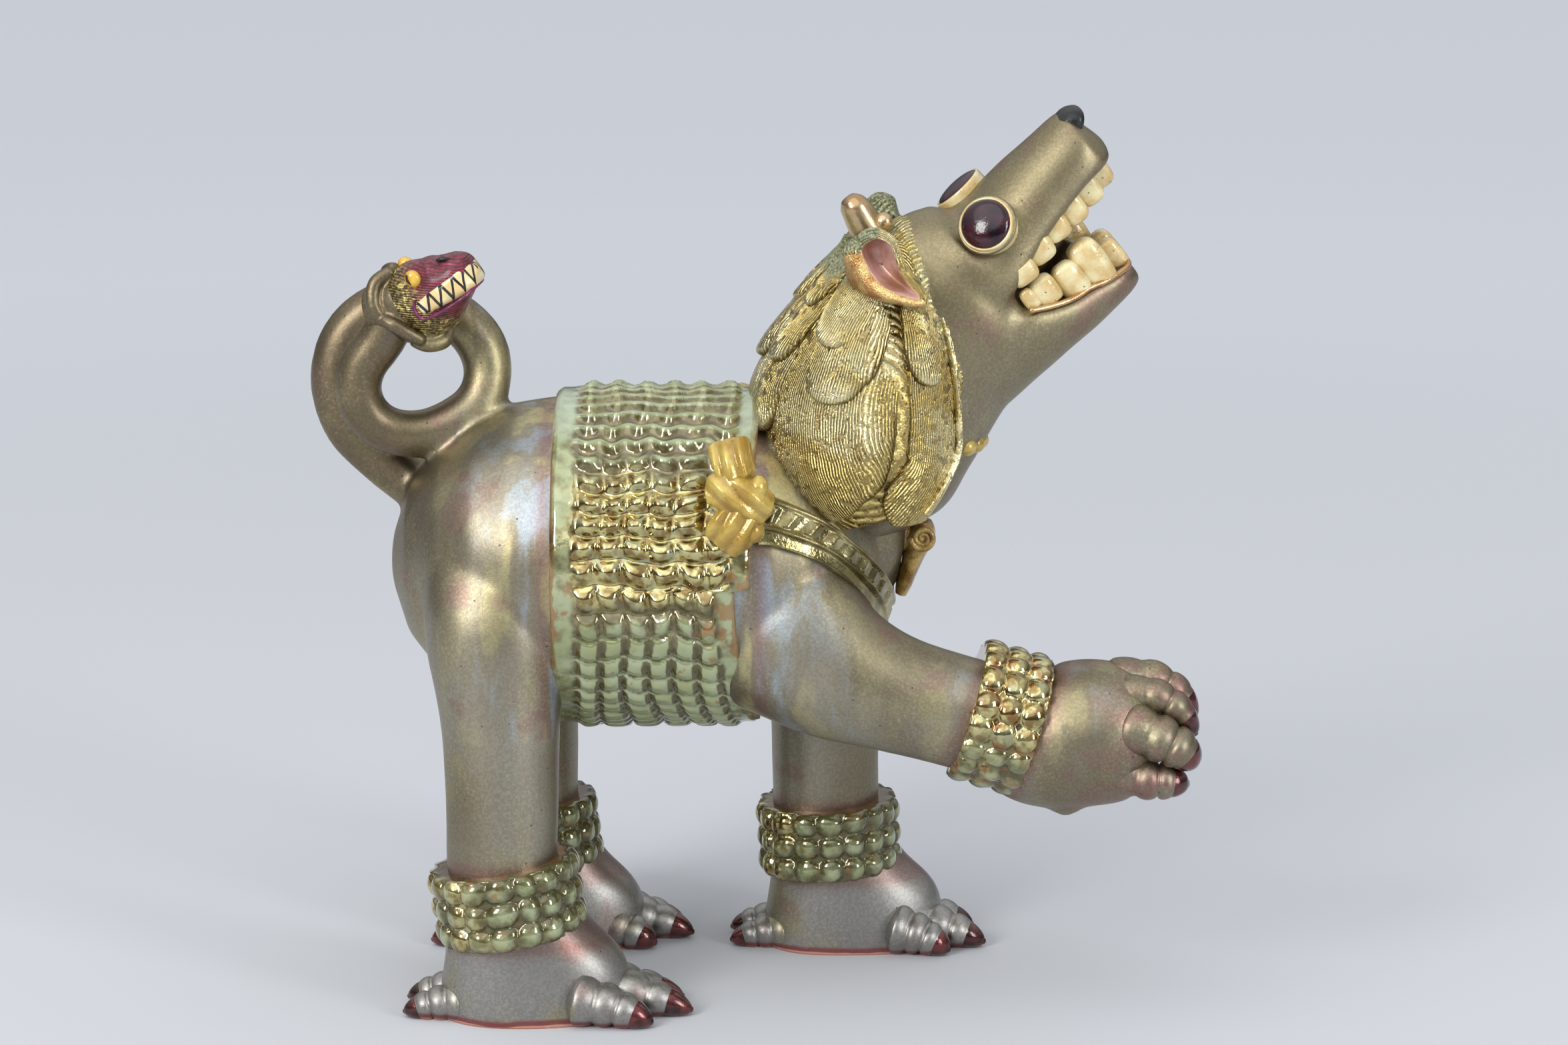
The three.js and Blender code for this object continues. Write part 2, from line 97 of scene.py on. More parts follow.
# %% One glaze
class Glaze:
    """A material with a Principled shader, and short ways to the nodes that a glaze needs."""

    def __init__(self, name, **constants):
        self.material = bpy.data.materials.new(name)
        self.material.use_nodes = True
        self.tree = self.material.node_tree
        self.shader = self.tree.nodes["Principled BSDF"]
        for key, value in constants.items():
            self.shader.inputs[key.replace("_", " ")].default_value = value
        self.spot = self.node(
            "ShaderNodeVectorMath",
            {"operation": "SCALE"},
            {0: self.node("ShaderNodeTexCoord").outputs["Object"], "Scale": 1 / MM},
        ).outputs[0]

    def node(self, kind, settings=None, values=None):
        node = self.tree.nodes.new(kind)
        for key, value in (settings or {}).items():
            setattr(node, key, value)
        for key, value in (values or {}).items():
            self.feed(node.inputs[key], value)
        return node

    def feed(self, socket, value):
        if isinstance(value, Level):
            value = value.socket
        if isinstance(value, bpy.types.NodeSocket):
            self.tree.links.new(value, socket)
        else:
            socket.default_value = value

    def math(self, operation, *values):
        node = self.node("ShaderNodeMath", {"operation": operation}, dict(enumerate(values)))
        return Level(self, node.outputs[0])

    def mark(self, name):
        """A number that the modelling left on each point of the mesh."""
        return Level(self, self.node("ShaderNodeAttribute", {"attribute_name": name}).outputs["Fac"])

    def axis(self, letter):
        """The place along X, Y or Z, in millimetres."""
        return Level(self, self.node("ShaderNodeSeparateXYZ", {}, {0: self.spot}).outputs[letter])

    def cloud(self, size, detail=2.0, stretch=(1, 1, 1), rough=0.5):
        """Noise whose patches are about size millimetres across."""
        place = self.node("ShaderNodeMapping", {}, {"Vector": self.spot, "Scale": stretch})
        values = {"Vector": place.outputs[0], "Scale": 1 / size, "Detail": detail, "Roughness": rough}
        return Level(self, self.node("ShaderNodeTexNoise", {}, values).outputs[0])

    def specks(self, size):
        """Distance to the nearest of many scattered points, 0 at a point."""
        values = {"Vector": self.spot, "Scale": 1 / size}
        return Level(self, self.node("ShaderNodeTexVoronoi", {}, values).outputs["Distance"])

    def blend(self, share, first, second, mode="MIX"):
        settings = {"data_type": "RGBA", "blend_type": mode}
        return self.node("ShaderNodeMix", settings, {0: share, 6: first, 7: second}).outputs[2]

    def relief(self, height):
        """A bump whose height is in millimetres."""
        values = {"Height": height, "Distance": MM, "Strength": 1.0}
        return self.node("ShaderNodeBump", {}, values).outputs[0]

    def finish(self, **sockets):
        for key, value in sockets.items():
            self.feed(self.shader.inputs[key.replace("_", " ")], value)
        print("glaze", self.material.name, len(self.tree.nodes), "nodes")
        return self.material


def ink(red, green, blue):
    """A colour as a four-number socket value."""
    return (red, green, blue, 1.0)


# %% [markdown]
# ## The silver-olive lustre of the skin
# The body carries a thin metallic lustre over dark clay. It is satin, it drifts from olive to
# blue, straw and rose where the film is thicker or thinner, and it is finely speckled like
# brushed metal. The modelling marks the places beside the jacket and the bands, where the real
# lustre turns mauve. The glaze finds the sole by height, where bare clay shows under a red line.


# %% Skin glaze
def make_lustre():
    g = Glaze("lustre_skin")
    x, z = g.axis("X"), g.axis("Z")
    drift = g.cloud(75, 2.5, (1, 1, 0.55))
    pool = g.cloud(38, 3, (1, 1, 0.7))
    grain = g.cloud(0.8, 2)
    mica = g.cloud(1.5, 3, rough=0.7)
    tone = g.blend(drift.between(0.38, 0.64), ink(0.24, 0.21, 0.14), ink(0.335, 0.31, 0.245))
    tone = g.blend((z + x * 0.4).between(330, 420) * 0.75, tone, ink(0.275, 0.232, 0.13))
    tone = g.blend((z * 0.5 - x).between(270, 330) * 0.9, tone, ink(0.18, 0.14, 0.085))
    tone = g.blend(z.between(80, 25) * 0.65, tone, ink(0.36, 0.365, 0.38))
    tone = g.blend(pool.between(0.52, 0.72) * 0.6, tone, ink(0.38, 0.34, 0.17))
    film = g.mark("gild") * z.between(110, 170)
    streak = g.cloud(20, 3, (1, 1, 0.24))
    tone = g.blend(film * streak.between(0.5, 0.6) * 0.85, tone, ink(0.62, 0.56, 0.27))
    tone = g.blend(film * streak.between(0.46, 0.36) * 0.85, tone, ink(0.40, 0.48, 0.56))
    blush = g.cloud(26, 3) + x.between(140, 215) * 0.16
    fist = x.between(165, 210) * g.cloud(9, 3).between(0.48, 0.62)
    rose = blush.between(0.57, 0.7) * 0.5 + g.mark("rose").between(0.3, 1.0) * 0.6 + fist * 0.5
    tone = g.blend(rose, tone, ink(0.27, 0.16, 0.14))
    tone = g.blend(mica.between(0.56, 0.42) * 0.35, tone, ink(0.60, 0.55, 0.48), "MULTIPLY")
    tone = g.blend(mica.between(0.54, 0.76) * pool.between(0.38, 0.6) * 0.5, tone, ink(0.56, 0.50, 0.30))
    pits = g.specks(9).between(0.07, 0.035)
    tone = g.blend(pits * 0.6, tone, ink(0.05, 0.035, 0.03))
    height = z + (g.cloud(26, 2) - 0.5) * 4
    wash = height.between(5.2, 3.0)
    bare = height.between(1.6, 0.9)
    tone = g.blend(wash * 0.85, tone, ink(0.15, 0.012, 0.016))
    tone = g.blend(bare, tone, ink(0.50, 0.25, 0.19))
    rough = 0.31 + grain * 0.10 + pool * 0.14 + bare * 0.4
    bumps = grain * 0.04 + mica * 0.055 + pits * -0.2
    return g.finish(
        Base_Color=tone, Roughness=rough, Metallic=0.92 - wash * 0.6, Normal=g.relief(bumps)
    )


lustre = make_lustre()

# %% [markdown]
# ## The celadon glaze with gold pools
# Jacket and bands have a thick, glassy grey-green glaze. Gold lustre lies on it in pools, most
# of all at half height, and it burns to orange-brown where it is thin. The modelling marks how
# pale each point of the relief is, so that the hollows stay green and the crest turns pale.


# %% Celadon glaze
def make_celadon():
    g = Glaze("celadon_and_gold", Coat_Weight=0.8, Coat_Roughness=0.03)
    high, hem = g.mark("high"), g.mark("hem")
    pool, spill = g.cloud(18, 3), g.cloud(6, 3)
    low = g.axis("Z").between(212, 196)
    hollow = g.blend(spill.between(0.4, 0.65), ink(0.115, 0.095, 0.035), ink(0.235, 0.20, 0.095))
    hollow = g.blend(low * 0.7, hollow, ink(0.07, 0.065, 0.015))
    pale = g.blend(g.cloud(24, 2).between(0.4, 0.65), ink(0.29, 0.325, 0.155), ink(0.365, 0.41, 0.24))
    ground = (high + (spill - 0.5) * 0.9).between(0.25, 0.75)
    tone = g.blend(ground, hollow, pale)
    gold = g.blend(spill.between(0.38, 0.62), ink(0.27, 0.18, 0.05), ink(0.64, 0.57, 0.25))
    gold = g.blend(g.cloud(9, 3).between(0.56, 0.66), gold, ink(0.40, 0.40, 0.22))
    gilded = (pool * 0.5 + g.mark("gild") * 0.5).between(0.46, 0.62)
    tone = g.blend(gilded * 0.9, tone, gold)
    burnt = (g.cloud(7, 3) + g.mark("rose") * 0.35).between(0.66, 0.76)
    tone = g.blend(burnt * 0.65, tone, ink(0.27, 0.10, 0.02))
    mint = (hem * g.axis("Z").between(290, 312)).between(0.3, 0.9)
    tone = g.blend(mint * 0.45, tone, ink(0.39, 0.48, 0.37))
    rough = 0.06 + spill * 0.06
    wave = g.cloud(6, 2) * 0.28 + g.cloud(1.8, 2) * 0.05
    metal = 0.35 + gilded * 0.6 - mint * 0.3
    return g.finish(Base_Color=tone, Metallic=metal, Roughness=rough, Normal=g.relief(wave))


celadon = make_celadon()

# %% [markdown]
# ## The combed gold of the mane
# The mane is gold lustre over clay that a comb has scored. Its lines follow each lock, so the
# glaze reads the distance across the lock that the modelling left on the mesh. Dark specks sit
# in the lines, and on the back the gold gives way to a rough grey-green. Light is painted in as
# well: the comb furrows are darkened, partly the glaze's own darker lines and partly painted
# shade; a painted shadow runs along the wall under each lock's end and darkens the back of each
# ear; and a painted highlight makes the lock ends and the cords paler.


# %% Gold glaze
def make_gold():
    g = Glaze("combed_gold")
    across = g.mark("across") + (g.cloud(14, 2) - 0.5) * 4
    dash = g.cloud(5, 2).between(0.30, 0.50)
    comb = (g.math("SINE", across * 3.1) * 0.5 + 0.5) * dash
    patch = g.cloud(28, 2)
    crumb = g.cloud(1.3, 3, rough=0.7)
    grit = g.cloud(1.0, 2)
    painted_highlight = g.mark("gild")
    groove_shade = g.mark("hem")
    pale = g.blend(patch.between(0.40, 0.6), ink(0.76, 0.60, 0.23), ink(0.94, 0.84, 0.48))
    tone = g.blend(g.cloud(14, 3).between(0.56, 0.7) * 0.6, pale, ink(0.38, 0.24, 0.06))
    # the comb furrows are darkened: partly the glaze's own darker lines, partly painted shade
    furrow_shade = (comb * 0.62 + crumb * 0.9).between(0.98, 0.54)
    tone = g.blend(furrow_shade * 0.75, tone, ink(0.21, 0.15, 0.05))
    pits = g.specks(3.0).between(0.20, 0.11) * g.cloud(9, 2).between(0.4, 0.55)
    tone = g.blend(pits * 0.8, tone, ink(0.06, 0.035, 0.01))
    # painted highlight: paler gold on the lock ends and the cords, with a flatter relief there
    tone = g.blend(painted_highlight * 0.5, tone, ink(0.80, 0.72, 0.44))
    # painted shade: a dark line on the wall under each lock's end, and on the back of each ear
    tone = g.blend(groove_shade * 0.85, tone, ink(0.09, 0.055, 0.015))
    moss = g.blend(crumb.between(0.42, 0.6), ink(0.14, 0.14, 0.06), ink(0.40, 0.42, 0.27))
    mossy = (g.mark("green") + (g.cloud(7, 3) - 0.5) * 0.9).between(0.35, 0.75)
    tone = g.blend(mossy, tone, moss)
    rough = 0.09 + furrow_shade * 0.15 + mossy * 0.35
    height = (comb * 0.60 + crumb * 0.44 + grit * 0.36) * (1.0 - painted_highlight * 0.5) - pits * 0.4
    return g.finish(
        Base_Color=tone, Metallic=0.98 - mossy * 0.6, Roughness=rough, Normal=g.relief(height)
    )


gold = make_gold()

# %% [markdown]
# ## The smaller glazes
# Ochre on the bows, honey on the drop, cream on the teeth, a near-black gloss on eyes and nose,
# dark nails, the rosy inside of the ears, and the dark mouth. Each has its own colour drift,
# gloss and relief.


# %% Small glazes
def make_small(name, deep, light, size, rough, metal=0.0, coat=0.5, grain=0.12, specks_and_shade=None):
    """A glaze between two colours with a fine grain, and if asked dark specks and painted crease shade."""
    g = Glaze(name, Coat_Weight=coat, Coat_Roughness=0.08)
    drift = g.cloud(size, 3)
    tone = g.blend(drift.between(0.36, 0.66), deep, light)
    height = g.cloud(size * 0.12, 2) * grain
    if specks_and_shade:
        speck = g.specks(4).between(0.16, 0.08) * g.cloud(11).between(0.45, 0.6)
        tone = g.blend(speck * 0.85, tone, specks_and_shade)
        # painted shade: the troughs that fan marks on the bows' pleats are darkened
        tone = g.blend(g.mark("hem") * 0.4, tone, specks_and_shade)
        height = height - speck * 0.15
    return g.finish(
        Base_Color=tone, Roughness=rough + drift * 0.12, Metallic=metal, Normal=g.relief(height)
    )


ochre = make_small(
    "ochre", ink(0.38, 0.235, 0.03), ink(0.56, 0.41, 0.09),
    size=14, rough=0.16, metal=0.2, coat=0.6, grain=0.3, specks_and_shade=ink(0.15, 0.065, 0.015),
)
cream = make_small(
    "cream_teeth", ink(0.60, 0.43, 0.17), ink(0.76, 0.66, 0.37),
    size=10, rough=0.14, metal=0.05, coat=0.7, grain=0.25, specks_and_shade=ink(0.12, 0.06, 0.03),
)
jet = make_small(
    "nose_black", ink(0.002, 0.002, 0.003), ink(0.010, 0.012, 0.011),
    size=16, rough=0.30, coat=0.0, grain=0.3,
)
iris = make_small(
    "eye_purple_black", ink(0.009, 0.001, 0.006), ink(0.04, 0.007, 0.014),
    size=9, rough=0.04, coat=0.15, grain=0.1,
)
nail = make_small(
    "nail_dark_red", ink(0.03, 0.010, 0.008), ink(0.15, 0.032, 0.03),
    size=7, rough=0.10, metal=0.6, coat=0.6,
)
blush = make_small(
    "ear_inside", ink(0.36, 0.17, 0.10), ink(0.66, 0.42, 0.38),
    size=16, rough=0.22, metal=0.2, coat=0.4,
)
maroon = make_small(
    "mouth_inside", ink(0.02, 0.004, 0.006), ink(0.09, 0.018, 0.018), size=12, rough=0.3
)
copper = make_small(
    "gum_copper", ink(0.40, 0.19, 0.07), ink(0.60, 0.40, 0.17), size=8, rough=0.12, metal=0.7
)
amber = make_small(
    "ear_rim_amber", ink(0.36, 0.17, 0.05), ink(0.58, 0.40, 0.16),
    size=7, rough=0.18, metal=0.7, coat=0.3, grain=0.5,
)
honey = make_small(
    "drop_honey", ink(0.24, 0.13, 0.03), ink(0.54, 0.38, 0.12),
    size=7, rough=0.16, metal=0.4, coat=0.5, grain=0.5,
)
bronze = make_small(
    "horn_bronze", ink(0.42, 0.27, 0.14), ink(0.60, 0.45, 0.26),
    size=22, rough=0.2, metal=0.9, coat=0.1,
)
olive_gold = make_small(
    "sash_gold", ink(0.16, 0.13, 0.045), ink(0.46, 0.40, 0.20),
    size=15, rough=0.11, metal=0.85, coat=0.4, grain=0.3,
)

# %% [markdown]
# ## Clay rolls
# A potter builds such a figure from rolls of clay that swell and thin out. Here a roll is a
# sphere whose rings are laid, one after another, on rows of numbers: the centre, the half width
# and the rise and drop above and below it. It stays one closed skin, with its poles at the ends.


# %% Rows and rolls
def even_rows(rows, count):
    """Rows of numbers, smoothly carried on to count rows."""
    result = []
    for i in range(count):
        place = i / (count - 1) * (len(rows) - 1)
        k = min(int(place), len(rows) - 2)
        t = place - k
        four = [rows[max(0, min(len(rows) - 1, j))] for j in (k - 1, k, k + 1, k + 2)]
        result.append(
            [
                b + 0.5 * t * (d - a + t * (2 * a - 5 * b + 4 * d - e + t * (3 * (b - d) + e - a)))
                for a, b, d, e in zip(*four)
            ]
        )
    return result


def inside(value, low, high):
    """0 below low, 1 above high, a smooth step between."""
    t = max(0, min(1, (value - low) / (high - low)))
    return t * t * (3 - 2 * t)


def full(rows):
    """Rows as x, y, z, half width, rise, drop, where a short row is round."""
    result = []
    for x, y, z, width, *rest in rows:
        rise = rest[0] if rest else width
        result.append([x, y, z, width, rise, rest[1] if len(rest) > 1 else rise])
    return result


def clay():
    """An empty form whose points can carry marks for the glazes."""
    form = bmesh.new()
    for mark in ("along", "across", "high", "rose", "gild", "hem", "green"):
        form.verts.layers.float.new(mark)
    return form


def bent(value, power):
    return math.copysign(abs(value) ** (2 / power), value)


def sphere(form, sides, rings):
    """A unit sphere, made apart and copied in, as spinning it beside other points is slow."""
    fresh = bmesh.new()
    bmesh.ops.create_uvsphere(fresh, u_segments=sides, v_segments=rings, radius=1)
    mesh = bpy.data.meshes.new("sphere")
    fresh.to_mesh(mesh)
    fresh.free()
    start = len(form.verts)
    form.from_mesh(mesh)
    bpy.data.meshes.remove(mesh)
    form.verts.ensure_lookup_table()
    return form.verts[start:]


def roll(
    form,
    rows,
    sides=32,
    rings=0,
    square=(2, 2),
    bulge=(0.4, 0.4),
    side=(0, 1, 0),
    place=None,
    heading=None,
):
    """Lays a sphere's rings on the rows, across the row line or all square to one heading."""
    rows = full(rows)
    rows = even_rows(rows, rings) if rings else rows
    last = len(rows) - 1
    centres = [Vector(row[:3]) for row in rows]
    frames = []
    length = 0
    for k, centre in enumerate(centres):
        tangent = Vector(heading) if heading else centres[min(k + 1, last)] - centres[max(k - 1, 0)]
        tangent.normalize()
        across = Vector(side)
        across = (across - tangent * across.dot(tangent)).normalized()
        length += (centre - centres[max(k - 1, 0)]).length
        frames.append((centre, tangent, across, tangent.cross(across), length))
    made = sphere(form, sides, last + 2)
    along = form.verts.layers.float["along"]
    across_mark = form.verts.layers.float["across"]
    for v in made:
        ring = round(math.acos(max(-1, min(1, v.co.z))) / math.pi * (last + 2)) - 1
        k = max(0, min(last, ring))
        centre, tangent, across, up, length = frames[k]
        width, rise, drop = rows[k][3:]
        if ring in (-1, last + 1):
            push = bulge[1] * rise if ring > 0 else -bulge[0] * rise
            v.co = centre + tangent * push
            v[along] = length + push
            continue
        angle = math.atan2(v.co.y, v.co.x)
        c, s = math.cos(angle), math.sin(angle)
        power = square[0] if s >= 0 else square[1]
        sideways = width * bent(c, power)
        v.co = centre + across * sideways + up * ((rise if s >= 0 else drop) * bent(s, power))
        v[along] = length
        v[across_mark] = sideways
    if place:
        for v in made:
            v.co = place(v.co)
    return made


def ball(form, centre, radii, sides=24, place=None):
    made = sphere(form, sides, sides // 2)
    for v in made:
        v.co = Vector(centre) + Vector([a * b for a, b in zip(v.co, radii)])
        if place:
            v.co = place(v.co)
    return made


# %% [markdown]
# ## Fusing and finishing
# Where clay forms run into each other the potter wipes the join smooth. A voxel remesh does the
# same: it lays one even skin over all the forms, and a few rounds of smoothing wipe the joins.
# A finished piece is scaled to metres and rides on the one body of this figure.


# %% Fuse, stand and show
def fuse(form, voxel, wipes):
    """One skin over the forms, wiped smooth."""
    mesh = bpy.data.meshes.new("clay")
    bmesh.ops.recalc_face_normals(form, faces=form.faces)
    form.to_mesh(mesh)
    form.free()
    lump = bpy.data.objects.new("clay", mesh)
    bpy.context.scene.collection.objects.link(lump)
    skin = lump.modifiers.new("skin", "REMESH")
    skin.mode = "VOXEL"
    skin.voxel_size = voxel
    shaped = lump.evaluated_get(bpy.context.evaluated_depsgraph_get())
    fused = bpy.data.meshes.new_from_object(shaped)
    result = clay()
    result.from_mesh(fused)
    bpy.data.objects.remove(lump)
    bpy.data.meshes.remove(mesh)
    bpy.data.meshes.remove(fused)
    for _ in range(wipes):
        bmesh.ops.smooth_vert(
            result, verts=result.verts, factor=0.5, use_axis_x=True, use_axis_y=True, use_axis_z=True
        )
    return result


def stand(form):
    """Cuts the form off at the ground and closes the sole."""
    parts = list(form.verts) + list(form.edges) + list(form.faces)
    bmesh.ops.bisect_plane(form, geom=parts, plane_co=(0, 0, 0), plane_no=(0, 0, 1), clear_inner=True)
    rim = [e for e in form.edges if e.is_boundary]
    bmesh.ops.holes_fill(form, edges=rim, sides=0)


def knead(form, amount, size):
    """Small unevenness of hand-shaped clay."""
    form.normal_update()
    moves = [v.normal * amount * noise.noise(v.co / size) for v in form.verts]
    for v, move in zip(form.verts, moves):
        v.co += move


def show(name, form, glazes):
    bmesh.ops.recalc_face_normals(form, faces=form.faces)
    bmesh.ops.scale(form, vec=(MM, MM, MM), verts=form.verts)
    mesh = bpy.data.meshes.new(name)
    form.to_mesh(mesh)
    form.free()
    mesh.shade_smooth()
    for glaze in glazes:
        mesh.materials.append(glaze)
    piece = bpy.data.objects.new(name, mesh)
    bpy.context.scene.collection.objects.link(piece)
    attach(piece, "root")
    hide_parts("guardian_lion")
    print(name, len(mesh.polygons), "faces")


# %% [markdown]
# ## Camera and light
# The photograph was taken with a short telephoto, 11.5 degrees above level, square to the
# figure's right side. The light is a large soft window on the left, a white wall on the right and
# even daylight from above, in a pale room that a lustre glaze mirrors.

# %% Camera
DISTANCE = 1943 * MM
TILT = math.radians(11.5)
AIM = Vector((16, 0, 247.3)) * MM
camera = bpy.data.objects.new("camera", bpy.data.cameras.new("camera"))
camera.data.lens = 85
camera.data.sensor_width = 36
camera.location = AIM + Vector((0, -math.cos(TILT), math.sin(TILT))) * DISTANCE
camera.rotation_euler = (math.pi / 2 - TILT, 0, 0)
camera.data.clip_end = 60
bpy.context.scene.collection.objects.link(camera)
bpy.context.scene.camera = camera
bpy.context.scene.view_settings.view_transform = "Standard"


# %% Lights
def soft_light(name, place, size, power, tint):
    lamp = bpy.data.lights.new(name, "AREA")
    lamp.shape = "RECTANGLE"
    lamp.size, lamp.size_y = size
    lamp.energy = power
    lamp.color = tint
    light = bpy.data.objects.new(name, lamp)
    light.location = place
    light.rotation_euler = (AIM - Vector(place)).to_track_quat("-Z", "Y").to_euler()
    bpy.context.scene.collection.objects.link(light)


soft_light("window", (-1.75, -2.1, 1.5), (0.9, 1.1), 44, (1.0, 0.985, 0.96))
soft_light("white_wall", (2.3, -1.9, 1.1), (0.7, 1.4), 36, (0.97, 0.98, 1.0))

sun = bpy.data.lights.new("even_daylight", "SUN")
sun.energy = 1.0
sun.angle = math.radians(70)
daylight = bpy.data.objects.new("even_daylight", sun)
daylight.rotation_euler = (math.radians(38), 0, math.radians(-25))
bpy.context.scene.collection.objects.link(daylight)


def make_room():
    """A pale paper sweep for the eye, and a dimmer room with a bright ceiling for the mirrors."""
    world = bpy.data.worlds.new("pale_room")
    world.use_nodes = True
    nodes, links = world.node_tree.nodes, world.node_tree.links
    paper = nodes["Background"]
    paper.inputs["Color"].default_value = ink(0.60, 0.62, 0.68)
    room = nodes.new("ShaderNodeBackground")
    place = nodes.new("ShaderNodeSeparateXYZ")
    links.new(nodes.new("ShaderNodeTexCoord").outputs["Generated"], place.inputs[0])
    climb = nodes.new("ShaderNodeMapRange")
    climb.interpolation_type = "SMOOTHSTEP"
    for key, value in (("From Min", 0.0), ("From Max", 0.85), ("To Min", 0.10), ("To Max", 1.0)):
        climb.inputs[key].default_value = value
    links.new(place.outputs["Z"], climb.inputs["Value"])
    links.new(climb.outputs[0], room.inputs["Strength"])
    room.inputs["Color"].default_value = ink(0.95, 0.97, 1.0)
    choose = nodes.new("ShaderNodeMixShader")
    links.new(nodes.new("ShaderNodeLightPath").outputs["Is Camera Ray"], choose.inputs[0])
    links.new(room.outputs[0], choose.inputs[1])
    links.new(paper.outputs[0], choose.inputs[2])
    links.new(choose.outputs[0], nodes["World Output"].inputs["Surface"])
    bpy.context.scene.world = world


make_room()


# %% Floor
def make_floor():
    g = Glaze("pale_paper")
    x, y = g.axis("X") * 0.001, g.axis("Y") * 0.001
    far = (x * x + y * y).between(0.2, 9)
    tone = g.blend(far, ink(0.50, 0.515, 0.545), ink(0.56, 0.58, 0.625))
    paper = g.finish(Base_Color=tone, Roughness=0.9, Normal=g.relief(g.cloud(3, 2) * 0.05))
    form = bmesh.new()
    bmesh.ops.create_grid(form, x_segments=8, y_segments=8, size=14)
    mesh = bpy.data.meshes.new("floor")
    form.to_mesh(mesh)
    form.free()
    mesh.materials.append(paper)
    floor = bpy.data.objects.new("floor", mesh)
    bpy.context.scene.collection.objects.link(floor)


make_floor()

# %% [markdown]
# ## Body, limbs and tail
# The torso is a fat drum with a round rump and chest. Three column legs stand in wedge-shaped
# feet, the right forelimb reaches forward, and the tail leaves the rump, makes one loop and
# comes up again in front of its own start. All of it is one skin on the real figure, so the
# rolls are fused.

# %% Measures of the body
HEIGHT = 229  # of the torso's axis above the ground
GIRTH = 84  # the torso's radius
HIP, CHEST = -103, -12
RUMP, BREAST = 87, 84  # how far the rounded ends reach past hip and chest
STANCE = 60
RAISED_Y = RIGHT * 62  # of the raised limb's middle line
WRIST = (126.7, 158)  # of the bracelet's middle, along X and Z
FOOT_LIFT = 62  # of the anklets' middle
# x, side, lean of the thigh, tilt of the anklet, reach of the toes, places of the three toes
LEGS = [
    (-129.5, RIGHT, -2, 8, 94, (-29, -10, 12)),
    (-126, LEFT, -2, 6, 88, (-18, 1, 20)),
    (38.5, LEFT, -6, 3, 84, (-30, -16, 16)),
]
TAIL = [
    (-150, 10, 246), (-178, 12, 265), (-197, 12, 281), (-212, 11, 298), (-218.2, 11, 318),
    (-216, 11, 338), (-204, 11, 354), (-184, 11, 362.5), (-163, 10, 359), (-146, 8, 347),
    (-138.5, 5, 330), (-142, 1, 313), (-155, -3, 302), (-173, -7, 296), (-192, -11, 300),
    (-203, -14, 314), (-202, -15, 331), (-191, -16, 347), (-184, -17, 362),
]


# %% Torso
def add_torso(form):
    rows = []
    for degrees in (80, 62, 44, 28, 14, 0):
        c, s = math.cos(math.radians(degrees)), math.sin(math.radians(degrees))
        rows.append((HIP - RUMP * s, 0, HEIGHT, GIRTH * c))
    for degrees in (0, 14, 28, 44, 62, 80):
        c, s = math.cos(math.radians(degrees)), math.sin(math.radians(degrees))
        rows.append((CHEST + BREAST * s, 0, HEIGHT, GIRTH * c))
    roll(form, rows, 64, bulge=(0.1, 0.1))
    ball(form, (52, 0, 246), (28.5, 34, 40))
    ball(form, (60, 0, 226), (17.5, 12, 22))


def add_leg(form, x, side, lean):
    y = side * STANCE
    rows = [
        (x + lean, y * 0.6, 252, 26, 30, 34),
        (x + lean, y * 0.84, 208, 35, 36, 38),
        (x + lean * 0.5, y * 0.96, 168, 31, 32, 32),
        (x, y, 122, 29.5, 29.5, 29.5),
        (x, y, 58, 28.5, 28.5, 28.5),
    ]
    roll(form, rows, 48, 24, bulge=(0, 0))
    foot = [
        (x + 1, y, 66, 29, 31, 29),
        (x + 3, y, 42, 29, 43.5, 33),
        (x + 6, y, 20, 30, 58, 39),
        (x + 8, y, 0, 31, 57, 40),
        (x + 8, y, -8, 31, 57, 40),
    ]
    roll(form, foot, 48, 18, square=(2.3, 2.3), bulge=(0, 0))


def add_raised_limb(form):
    y = RAISED_Y
    arm = [
        (-8, y * 0.5, 214, 34, 46, 50),
        (14, y * 0.78, 203, 36, 46, 48),
        (42, y * 0.96, 184, 31, 37, 39),
        (70, y, 171.5, 29, 30.5, 31),
        (98, y, 163, 28.5, 29, 29.5),
        (126, y, 156, 28, 29, 29),
    ]
    paw = [
        (126, y, 158, 28, 28, 28),
        (142, y, 150, 32, 34, 35),
        (156, y, 147.5, 35, 38.5, 37),
        (174, y, 148, 36, 40, 35.5),
        (190, y, 150, 33, 37, 34),
        (204, y, 151, 24, 27, 25),
    ]
    roll(form, arm, 48, 26, bulge=(0.3, 0))
    roll(form, paw, 48, 24, bulge=(0, 0.35))
    ball(form, (160.5, y - 6, 115.5), (10, 8, 8.5))


def near_edge(x, y, z, reach):
    """How close a point of the skin is to the jacket's edges or to a band, 1 at the edge."""
    gap = abs(x + 106) if x < -50 else abs(x - 4)
    if z < 150:
        gap = abs(z - FOOT_LIFT) - 21
    if x > 84 and y < -20:
        gap = abs((x - WRIST[0]) * 0.92 - (z - WRIST[1]) * 0.38) - 20
    return math.exp(-max(0, gap) / reach)


# %% Body skin
form = clay()
add_torso(form)
for x, side, lean, *_ in LEGS:
    add_leg(form, x, side, lean)
add_raised_limb(form)
thin = len(TAIL) - 1
roll(
    form, [(*spot, 13.6 - 1.2 * i / thin) for i, spot in enumerate(TAIL)], 32, 96, bulge=(0, 0.2)
)
form = fuse(form, 2.2, 7)
knead(form, 0.9, 34)
stand(form)
rose = form.verts.layers.float["rose"]
film = form.verts.layers.float["gild"]
for v in form.verts:
    v[rose] = near_edge(*v.co, 7)
    v[film] = near_edge(*v.co, 26) * (0.35 if v.co.x > 84 else 1)
show("body_skin", form, [lustre])

